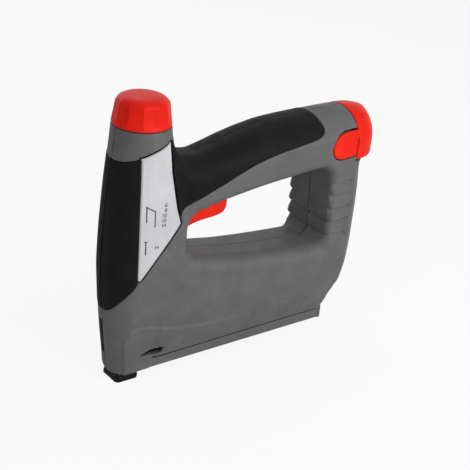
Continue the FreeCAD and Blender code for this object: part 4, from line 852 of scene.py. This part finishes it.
BOARD = material(
    "board green", "0E4A2A", "156036", grain=0.6, bump=0.1, rough=(0.3, 0.45),
    coat=0.3,
)
BOARD_BLACK = material(
    "component black", "141416", "202022", grain=0.4, bump=0.15, rough=(0.4, 0.6),
)
BRASS = material(
    "contact brass", "B08A3C", "C7A050", grain=0.3, bump=0.08, rough=(0.22, 0.4),
    metal=1.0,
)
SLEEVE = material(
    "cell sleeve", "2456A0", "2E66B4", grain=0.6, bump=0.06, rough=(0.25, 0.4),
    coat=0.3,
)
PACK = material(
    "battery case", "222224", "2E2E30", grain=0.5, bump=0.3, rough=(0.45, 0.6),
)

BY_SLOT = {
    "body_grey": BODY,
    "front_rubber": FRONT_RUBBER,
    "grip_rubber": GRIP_RUBBER,
    "label_silver": LABEL_SILVER,
    "red_plastic": RED,
    "trigger_plastic": RED,
    "nose_black": NOSE_BLACK,
    "steel": STEEL,
    "spring_steel": SPRING,
    "zinc": ZINC,
    "gear_plastic": GEAR,
    "foam": FOAM,
    "board_green": BOARD,
    "board_black": BOARD_BLACK,
    "contact_brass": BRASS,
    "cell_sleeve": SLEEVE,
    "pack_plastic": PACK,
}


def dress_cad():
    """Every CAD node that stays in view gets the finish of its slot."""
    slots = {row["node"]: row["material_slot"] for row in frame["record"]["subparts"]}
    for name, node in frame["nodes"].items():
        node.data.materials.clear()
        node.data.materials.append(BY_SLOT[slots[name]])


# Housing, rubber and label

SIDES = (("near", False), ("far", True))


def both_halves(stem, nodes, reach, field, low, high, step, finish):
    """The near piece and the far piece of a pair."""
    for word, far in SIDES:
        y = (-1.0, reach) if far else (-reach, 1.0)
        carve(
            f"{stem}_{word}", lambda a, b, c: field(a, b, c, far),
            (low[0], y[0], low[1]), (high[0], y[1], high[1]), step, finish,
            "housing", nodes[far:far + 1],
        )


# Cell sizes of the large and the thin pieces

FINE = 0.85
THIN = 0.62

both_halves(
    "housing", ("housing_left", "housing_right"), 27.5, housing_field,
    (-26, 5), (199, 192), FINE, BODY,
)
both_halves(
    "front_rubber", ("front_grip_left", "front_grip_right"), 24,
    lambda x, y, z, far: layer_field(x, y, z, far, FRONT, STAND),
    (-26, 56), (-2, 176), THIN, FRONT_RUBBER,
)
both_halves(
    "label", ("label_plate_left", "label_plate_right"), 24, label_field,
    (-12, 82), (28, 184), THIN, LABEL_SILVER,
)
# Painted shade: a near-black layer sunk in the groove round the label, for the shade in the groove
both_halves(
    "label_groove_shade", (), 24,
    lambda x, y, z, far: layer_field(x, y, z, far, label_groove_shade, -RIM_SINK),
    (-12, 80), (29, 186), THIN, SHADE_BLACK,
)
both_halves(
    "palm_rubber", ("handle_grip_left", "handle_grip_right"), 28,
    lambda x, y, z, far: layer_field(x, y, z, far, palm_area, STAND, PALM_SEAM),
    (12, 118), (149, 192), THIN, GRIP_RUBBER,
)


def slit_shade_field(x, y, z):
    """Painted shade: a near-black floor in the slit in the front, for the shade inside the slit."""
    skin = hull(x, y, z)
    solid = np.maximum(skin + 0.35, -(skin + DEPTH + 0.1))
    return np.maximum(np.maximum(solid, slit_area(y, z)), x + 8)


# Painted shade: the dark floor of the slit in the front
carve(
    "front_slit_shade", slit_shade_field, (-22, -1, 20), (-7, 6, 51), 0.5, SHADE_BLACK,
    "housing",
)


STRIP_TOP_DEPTH, STRIP_FLOOR_DEPTH = 0.5, 1.8
STRIP_SIDE = 0.6
STRIP_TOP = 188.6
STRIP_FOOT = 22


def parting_shade_field(x, y, z):
    """Painted shade: a dark strip under the parting line of the halves, for the shade in the gap
    between them.
    """
    skin = hull(x, y, z)
    solid = np.maximum(skin + STRIP_TOP_DEPTH, -(skin + STRIP_FLOOR_DEPTH))
    solid = np.maximum(solid, np.abs(y) - STRIP_SIDE)
    solid = np.maximum(np.maximum(solid, z - STRIP_TOP), STRIP_FOOT - z)
    solid = np.maximum(solid, np.minimum(x - CAP_FACE + 0.8, z - POST_TOP))
    return np.maximum(solid, -block(x, y, z, *TRIGGER_GAP))


# Painted shade: the dark line along the parting of the halves
carve(
    "parting_shade", parting_shade_field, (-26, -1.2, 20), (199, 1.2, 191), 0.6, SHADE_BLACK,
    "housing",
)


def slot_shade_field(x, y, z):
    """Painted shade: a dark plate behind the wedge-shaped slot of each side, for the shade inside
    the slot.
    """
    return np.maximum(SLOT(x, z) - 0.5, np.abs(np.abs(y) - 11.1) - 0.4)


# Painted shade: dark plates seen through the side slots
carve(
    "slot_shade", slot_shade_field, (1, -12.5, 17.6), (24, 12.5, 28.5), 0.4, SHADE_BLACK,
    "housing",
)


# Marks printed on the label: a staple, a nail and the lengths in millimetres

GLYPHS = {
    "0": (((0, 0), (1, 0), (1, 2), (0, 2), (0, 0)),),
    "1": (((0.2, 1.6), (0.6, 2), (0.6, 0)),),
    "2": (((0, 2), (1, 2), (1, 1), (0, 1), (0, 0), (1, 0)),),
    "4": (((0, 2), (0, 0.8), (1, 0.8)), ((0.75, 2), (0.75, 0))),
    "6": (((1, 2), (0, 2), (0, 0), (1, 0), (1, 1), (0, 1)),),
    "8": (((0, 0), (1, 0), (1, 2), (0, 2), (0, 0)), ((0, 1), (1, 1))),
}
GLYPH_WIDTH = 1.25
GLYPH_PITCH = 1.95
GLYPH_RISE = 1.05
NUMBER_STROKE = 0.36
NUMBERS = (
    ("6", 12.4, 137.6), ("8", 12.4, 133.9), ("10", 12.4, 130.2), ("12", 12.4, 126.5),
    ("14", 12.4, 122.8), ("14", 8.0, 107.4),
)
STAPLE_AND_NAIL = (
    ([(-3.1, 129.0), (-3.5, 139.8), (3.5, 135.4), (3.9, 124.5)], 0.85),
    ([(-2.5, 114.2), (-2.1, 105.3)], 1.0),
    ([(-3.4, 114.5), (-1.6, 114.3)], 0.8),
)


def number_strokes(digits, edge, low, far):
    """A number's strokes: it ends at the edge on the near side and starts there on the far."""
    span = GLYPH_PITCH * (len(digits) - 1) + GLYPH_WIDTH
    for index, digit in enumerate(digits):
        for stroke in GLYPHS[digit]:
            drawn = [
                (index * GLYPH_PITCH + u * GLYPH_WIDTH, low + w * GLYPH_RISE) for u, w in stroke
            ]
            yield [(edge - u if far else edge - span + u, w) for u, w in drawn]


WIDEST = 30.0
HALVINGS = 22


def skin_y(x, z):
    """How far out the surface lies at places of the side view."""
    low = np.zeros_like(x)
    high = np.full_like(x, WIDEST)
    for _ in range(HALVINGS):
        middle = (low + high) / 2
        out = hull(x, middle, z) > 0
        high = np.where(out, middle, high)
        low = np.where(out, low, middle)
    return low


def printed(name, strokes, far):
    """Thin raised strokes that follow the label's surface."""
    points = []
    faces = []
    for path, thick in strokes:
        for (ax, az), (bx, bz) in zip(path[:-1], path[1:]):
            long = math.hypot(bx - ax, bz - az)
            ux, uz = (bx - ax) / long, (bz - az) / long
            count = max(2, int(long) + 1)
            along = np.linspace(-thick / 2, long + thick / 2, count)
            rows = []
            for side, lift in ((-1, -0.1), (-1, 0.13), (1, 0.13), (1, -0.1)):
                x = ax + ux * along - uz * side * thick / 2
                z = az + uz * along + ux * side * thick / 2
                y = skin_y(x, z) + 0.05 + lift
                rows.append(np.stack([x, y if far else -y, z], 1))
            first = sum(len(p) for p in points)
            points.append(np.concatenate(rows))
            for k in range(count - 1):
                for r in range(4):
                    after = (r + 1) % 4
                    here = first + r * count + k
                    beside = first + after * count + k
                    faces.append([here, beside, beside + 1, here + 1])
            faces.append([first + r * count for r in (3, 2, 1, 0)])
            faces.append([first + r * count + count - 1 for r in range(4)])
    mesh = mesh_of(name, np.concatenate(points), np.array(faces), 30)
    piece(name, mesh, INK, "housing")


for word, far in SIDES:
    marks = list(STAPLE_AND_NAIL)
    for number in NUMBERS:
        marks += [(path, NUMBER_STROKE) for path in number_strokes(*number, far)]
    printed(f"label_marks_{word}", marks, far)


# Power knob

KNOB_COLUMNS = 288
KNOB_FOOT = 190.6
KNOB_SKIRT = 191.4
KNOB_WALL = 13.1
KNOB_SHOULDER = 204.5
KNOB_CROWN = 209.5
KNOB_RADIUS = 20.0
KNOB_DRAFT = 2.0
CROWN_RADIUS = 9.0
CROWN_RISE = 5.0
FLATS = 12
FLAT_DEPTH = 0.75
FLAT_START = (191.6, 194.0)
FLAT_END = (204.5, 209.4)
FLAT_INNER = (11.0, 16.0)


def knob_profile():
    """Radius and height from the foot to the middle of the crown."""
    points = [
        (2.0, KNOB_FOOT), (19.1, KNOB_FOOT), (19.8, 190.8), (KNOB_RADIUS, KNOB_SKIRT),
    ]
    for t in np.linspace(0.08, 1, 12):
        points.append((KNOB_RADIUS - KNOB_DRAFT * t, KNOB_SKIRT + t * KNOB_WALL))
    for a in np.linspace(0.06, 1, 16):
        turn = a * math.pi / 2
        points.append((
            KNOB_RADIUS - KNOB_DRAFT - CROWN_RADIUS * (1 - math.cos(turn)),
            KNOB_SHOULDER + CROWN_RISE * math.sin(turn),
        ))
    for r in np.linspace(8.0, 0.02, 8):
        points.append((r, KNOB_CROWN + 0.3 * (1 - (r / CROWN_RADIUS) ** 2)))
    return points


def knob_shape(radius, height, angle):
    """Broad flats with soft ridges between, fading into the foot and the crown."""
    wave = np.abs(np.sin(angle * (FLATS / 2)))
    ridge = 1 - wave ** 0.75
    fade = step_between(height, *FLAT_START) * (1 - step_between(height, *FLAT_END))
    outer = step_between(radius, *FLAT_INNER)
    return radius - FLAT_DEPTH * (1 - ridge) * fade * outer


def knob_mesh():
    """The profile turned about the knob's axis, with the flats pressed into it."""
    angle = np.linspace(0, 2 * math.pi, KNOB_COLUMNS, endpoint=False)
    radius, height = np.array(knob_profile(), float).T
    rings = knob_shape(radius[:, None], height[:, None], angle[None, :])
    x = KNOB_AXIS + rings * np.cos(angle)
    y = rings * np.sin(angle)
    z = np.broadcast_to(height[:, None], x.shape)
    points = np.stack([x, y, z], -1).reshape(-1, 3)
    rows, columns = x.shape
    row, column = np.meshgrid(np.arange(rows - 1), np.arange(columns), indexing="ij")
    after = (column + 1) % columns
    faces = np.stack([
        row * columns + column, row * columns + after,
        (row + 1) * columns + after, (row + 1) * columns + column,
    ], -1).reshape(-1, 4)
    return mesh_of("knob_cap", points, faces, 50)


piece("knob_cap", knob_mesh(), RED, "knob", ("power_knob",))


# Battery cap and its release tabs

CAP_SIDE = 25.2
CAP_TOP = 180.7
CAP_FOOT = 143.9
CAP_REAR = 201.5
CAP_WALL = 3.0
CAP_GAP = 0.35
CAP_HOLLOW_END = 198
CAP_TAPER_START = 180.0
CAP_TAPER = 22.0
CAP_CURVE = 2.3
CAP_TOP_ROUND = 24.5
CAP_FOOT_ROUND = 5.0
CAP_LEAST_ROUND = 3.0


def cap_field(x, y, z):
    """The battery's end cap: a rounded, hollow hood that draws in to the rear."""
    along = np.clip((x - CAP_TAPER_START) / CAP_TAPER, 0, 1)
    inset = CAP_SIDE * (1 - (1 - along ** CAP_CURVE) ** (1 / CAP_CURVE))
    flank = np.abs(y) - CAP_SIDE + inset
    top_round = np.maximum(CAP_TOP_ROUND - 0.5 * inset, CAP_LEAST_ROUND)
    foot_round = np.maximum(CAP_FOOT_ROUND - 0.1 * inset, CAP_LEAST_ROUND)
    skin = np.maximum(
        round_meet(z - CAP_TOP + 0.3 * inset, flank, top_round),
        round_meet(CAP_FOOT - z, flank, foot_round),
    )
    skin = smooth_max(skin, x - CAP_REAR, 2.0)
    solid = smooth_max(skin, CAP_FACE + CAP_GAP - x, 0.8)
    hollow = np.maximum(skin + CAP_WALL, x - CAP_HOLLOW_END)
    return np.maximum(solid, -hollow)


TAB_GAP = 0.35
TAB_SIDE = 25.3
TAB_INNER_SIDE = 22.6
DISH_X, DISH_Z = 165, 159.5
DISH_LENGTH, DISH_HEIGHT = 9.5, 7.0


def tab_field(x, y, z, far):
    """A release tab with a shallow thumb dish."""
    side = y if far else -y
    plate = TAB(x, z) + TAB_GAP
    away = ((x - DISH_X) / DISH_LENGTH) ** 2 + ((z - DISH_Z) / DISH_HEIGHT) ** 2
    dish = np.exp(-away ** 1.5)
    skin = smooth_max(side - TAB_SIDE + dish, plate, 1.6)
    skin = smooth_max(skin, x - CAP_FACE, 0.5)
    return np.maximum(skin, TAB_INNER_SIDE - side)


carve(
    "battery_cap_shell", cap_field, (176, -26.6, 142), (203.4, 26.6, 182.4), 0.75, RED,
    "battery", ("battery_cap",),
)
for word, far, node, body in (
    ("near", False, "release_tab_left", "tab_left"),
    ("far", True, "release_tab_right", "tab_right"),
):
    y = (21.0, 26.8) if far else (-26.8, -21.0)
    carve(
        f"release_tab_{word}", lambda a, b, c: tab_field(a, b, c, far),
        (150.5, y[0], 145), (178.4, y[1], 171.5), 0.55, RED,
        body, (node,),
    )


# Trigger

TRIGGER = chart_of(softened([
    (36.0, 106.2), (38.6, 109.4), (42.6, 111.7), (52.5, 113.6), (62.9, 114.2), (69.6, 115.4),
    (73.6, 118.6), (74.2, 128.6), (60, 129.5), (43, 128.0), (39, 120), (36.2, 112),
], 2))
TRIGGER_SIDE = 8.6
TRIGGER_ROUND = 2.4
PIN_X, PIN_Z = 47.0, 129.0
PIN_RADIUS = 2.0
PIN_SIDE = 13.0


def trigger_field(x, y, z):
    """The trigger: its side outline with well-rounded edges."""
    return round_meet(TRIGGER(x, z), np.abs(y) - TRIGGER_SIDE, TRIGGER_ROUND)


carve(
    "trigger_shell", trigger_field, (34.6, -10, 104), (76, 10, 131), 0.6, RED,
    "trigger_lever", ("trigger",),
)


def pin_field(x, y, z):
    """The trigger's pin, short enough to stay inside the skin."""
    ring = np.hypot(x - PIN_X, z - PIN_Z)
    return round_meet(ring - PIN_RADIUS, np.abs(y) - PIN_SIDE, 0.5)


carve(
    "trigger_pin_shell", pin_field, (44, -14, 126), (50, 14, 132), 0.5, STEEL,
    "housing", ("trigger_pin",),
)


# Magazine rail and nose

RAIL_SIDE = 12.6
RAIL_TOP = 17.2
RAIL_START = 14.0
RAIL_END = 172.6
RAIL_INNER_SIDE = 10.4
RAIL_FLOOR = 9.4
GROOVE_LEVEL = 14.6
GROOVE_HALF = 0.35
GROOVE_SIDE = 12.0
GROOVE_START = 20


def rail_field(x, y, z):
    """The magazine's channel, with a groove along its upper edge."""
    side = np.abs(y)
    solid = round_meet(side - RAIL_SIDE, np.maximum(z - RAIL_TOP, CHIN - z), 1.0)
    solid = smooth_max(solid, np.maximum(RAIL_START - x, x - RAIL_END), 0.3)
    groove = np.maximum(GROOVE_SIDE - side, np.abs(z - GROOVE_LEVEL) - GROOVE_HALF)
    groove = np.maximum(groove, GROOVE_START - x)
    hollow = np.maximum(side - RAIL_INNER_SIDE, RAIL_FLOOR - z)
    return smooth_max(np.maximum(solid, -hollow), -groove, 0.3)


SOLE_SHADE_START, SOLE_SHADE_END = 14.6, 172.2
BAND_SIDE, BAND_LEVEL, BAND_HALF = 11.0, 17.5, 0.25
LIP_SIDE, LIP_LEVEL, LIP_HALF = 13.75, 17.3, 0.45


def sole_shade_field(x, y, z):
    """Painted shade: a dark band between the housing's sole and the rail, with a lip outside the
    rail, for the shade line between the parts.
    """
    side = np.abs(y)
    band = np.maximum(BAND_SIDE - side, np.abs(z - BAND_LEVEL) - BAND_HALF)
    lip = np.maximum(LIP_SIDE - side, np.abs(z - LIP_LEVEL) - LIP_HALF)
    ends = np.maximum(SOLE_SHADE_START - x, x - SOLE_SHADE_END)
    return np.maximum(np.maximum(np.minimum(band, lip), ends), hull(x, y, z) + 0.05)


NOSE_SIDE = 8.7
NOSE_FRONT, NOSE_REAR = -10.0, 4.0
NOSE_TOP = 26.0
NOSE_CHAMFER = 1.5
LEDGE_TOP, LEDGE_FOOT = (6.5, 6.9), (2.6, 3.0)
LEDGE_OUT, LEDGE_BACK = 1.2, 0.4
PLATE_REAR = -8.0
PLATE_FOOT, PLATE_TOP = 10, 40
THROAT_SIDE = 6.3
THROAT_FRONT, THROAT_REAR = -9.0, -6.4
THROAT_TOP = 27
CHANNEL_FOOT = 8.1


def nose_field(x, y, z):
    """The black nose: a chamfered block with two ledges, its front plate and its channel."""
    side = np.abs(y)
    ledge = 1 - step_between(z, *LEDGE_TOP)
    foot = LEDGE_OUT * ledge - LEDGE_BACK * step_between(z, *LEDGE_FOOT) * ledge
    flank = side - NOSE_SIDE - foot
    ends = np.maximum(NOSE_FRONT - foot - x, x - NOSE_REAR - 3.0 * foot)
    chamfer = (flank + ends) * 0.7071 + NOSE_CHAMFER
    solid = smooth_max(np.maximum(flank, ends), chamfer, 0.4)
    solid = smooth_max(solid, np.maximum(-z, z - NOSE_TOP), 0.8)
    plate = np.maximum(NOSE_FRONT - x, x - PLATE_REAR)
    plate = np.maximum(plate, np.maximum(side - NOSE_SIDE, z - PLATE_TOP))
    plate = np.maximum(plate, PLATE_FOOT - z)
    solid = np.minimum(solid, plate)
    opening = np.maximum(side - THROAT_SIDE, THROAT_FRONT - x)
    throat = np.maximum(opening, np.maximum(x - THROAT_REAR, z - THROAT_TOP))
    channel = np.maximum(opening, CHANNEL_FOOT - z)
    return np.maximum(np.maximum(solid, -throat), -channel)


carve(
    "nose_shell", nose_field, (-12.4, -10.9, -1), (8.6, 10.9, 41), 0.4, NOSE_BLACK,
    "housing", ("nose_block", "nose_plate"),
)
# Painted shade: the dark line between the housing's sole and the rail
carve(
    "sole_shade_line", sole_shade_field, (13.6, -17.8, 16.4), (173.2, 17.8, 18.3), 0.35, SHADE_BLACK,
    "housing",
)
carve(
    "rail_shell", rail_field, (12.5, -13.8, 6), (174, 13.8, 18.4), 0.8, BODY,
    "magazine", ("magazine_rail",),
)


# Camera, light and floor

VIEW_ANGLES = (39.7, 25.3, 6.2)
VIEW_CENTRE = (90.4, 0.0, 91.0)
VIEW_DISTANCE = 850.0
FOCAL_PIXELS = 1170.0
PHOTO_PIXELS = 470.0
SENSOR = 36.0
LAMP_AIM = (0.09, 0, 0.1)
LAMPS = (
    ("key", (0.45, -1.0, 0.55), (0.7, 0.7), 8.6),
    ("top", (0.25, 0.05, 1.15), (0.9, 0.7), 1.0),
    ("side", (-0.35, -0.95, 0.9), (0.6, 0.8), 2.2),
    ("back", (0.1, 0.95, 0.7), (0.9, 0.5), 1.4),
    ("left", (-1.0, -0.2, 0.5), (0.6, 0.8), 0.8),
)
FILL_STRENGTH = 0.3
FLOOR_HALF = 3.0
FLOOR_LEVEL = -0.0002
FLOOR_TONE = 0.92
FLOOR_GLOW = 0.88
WHITE = (1, 1, 1, 1)


def turned_to(made, right, up, back, place):
    """Stands an object at a place in metres, facing away from its back direction."""
    rows = [[right[i], up[i], back[i], place[i]] for i in range(3)]
    made.matrix_world = Matrix(rows + [[0, 0, 0, 1]])


def camera():
    """The photograph's view, fitted to its vanishing lines."""
    azimuth, lift, roll = (math.radians(v) for v in VIEW_ANGLES)
    level = math.cos(lift)
    back = np.array([-math.sin(azimuth) * level, -math.cos(azimuth) * level, math.sin(lift)])
    right = np.array([math.cos(azimuth), -math.sin(azimuth), 0.0])
    up = np.cross(back, right)
    across = right * math.cos(roll) + up * math.sin(roll)
    upward = -right * math.sin(roll) + up * math.cos(roll)
    place = np.array(VIEW_CENTRE) + back * VIEW_DISTANCE
    made = placed("camera", bpy.data.cameras.new("camera"))
    turned_to(made, across, upward, back, place * 0.001)
    made.data.sensor_width = SENSOR
    made.data.lens = FOCAL_PIXELS / PHOTO_PIXELS * SENSOR
    made.data.clip_start = 0.01
    bpy.context.scene.camera = made


def lamp(name, place, size, power):
    """A soft rectangular lamp that faces the tool."""
    made = placed(name, bpy.data.lights.new(name, "AREA"))
    made.data.shape = "RECTANGLE"
    made.data.size, made.data.size_y = size
    made.data.energy = power
    back = np.array(place, float) - np.array(LAMP_AIM, float)
    back /= np.linalg.norm(back)
    right = np.cross((0, 0, 1), back)
    right /= np.linalg.norm(right)
    turned_to(made, right, np.cross(back, right), back, place)


def plain(tree, kind, colour, strength=None):
    """A background, diffuse or emission node of one colour."""
    made = tree.nodes.new(kind)
    made.inputs["Color"].default_value = colour
    if strength is not None:
        made.inputs["Strength"].default_value = strength
    return made.outputs[0]


def combined(tree, operation, first, second):
    """A maths node; its second input is a socket or a number."""
    made = tree.nodes.new("ShaderNodeMath")
    made.operation = operation
    tree.links.new(first, made.inputs[0])
    if isinstance(second, float):
        made.inputs[1].default_value = second
    else:
        tree.links.new(second, made.inputs[1])
    return made.outputs["Value"]


def finished(tree, kind, share, first, second):
    """The output of a tree: one shader turned into another by a share."""
    out = tree.nodes.new(kind)
    mix = tree.nodes.new("ShaderNodeMixShader")
    tree.links.new(share, mix.inputs["Fac"])
    tree.links.new(first, mix.inputs[1])
    tree.links.new(second, mix.inputs[2])
    tree.links.new(mix.outputs["Shader"], out.inputs["Surface"])


def world():
    """White to the camera, reflections and clear pieces, and a dimmer fill for the rest."""
    made = bpy.data.worlds.new("studio")
    bpy.context.scene.world = made
    made.use_nodes = True
    tree = made.node_tree
    tree.nodes.clear()
    seen = plain(tree, "ShaderNodeBackground", WHITE, 1.0)
    fill = plain(tree, "ShaderNodeBackground", WHITE, FILL_STRENGTH)
    path = tree.nodes.new("ShaderNodeLightPath").outputs
    share = combined(tree, "MAXIMUM", path["Is Camera Ray"], path["Is Transmission Ray"])
    share = combined(tree, "MAXIMUM", share, path["Is Glossy Ray"])
    finished(tree, "ShaderNodeOutputWorld", share, fill, seen)


def floor():
    """A pale floor that keeps a part of the shadow and is near white to the camera."""
    mesh = bpy.data.meshes.new("floor")
    corners = [(u * FLOOR_HALF, v * FLOOR_HALF, 0) for u, v in ((-1, -1), (1, -1), (1, 1), (-1, 1))]
    mesh.from_pydata(corners, [], [(0, 1, 2, 3)])
    made = placed("floor", mesh)
    made.location.z = FLOOR_LEVEL
    finish = bpy.data.materials.new("floor")
    finish.use_nodes = True
    tree = finish.node_tree
    tree.nodes.clear()
    lit = plain(tree, "ShaderNodeBsdfDiffuse", (FLOOR_TONE, FLOOR_TONE, FLOOR_TONE, 1))
    glow = plain(tree, "ShaderNodeEmission", WHITE, 1.0)
    path = tree.nodes.new("ShaderNodeLightPath").outputs
    share = combined(tree, "MULTIPLY", path["Is Camera Ray"], FLOOR_GLOW)
    finished(tree, "ShaderNodeOutputMaterial", share, lit, glow)
    made.data.materials.append(finish)


camera()
world()
floor()
for row in LAMPS:
    lamp(*row)
bpy.context.scene.view_settings.view_transform = "Standard"

dress_cad()
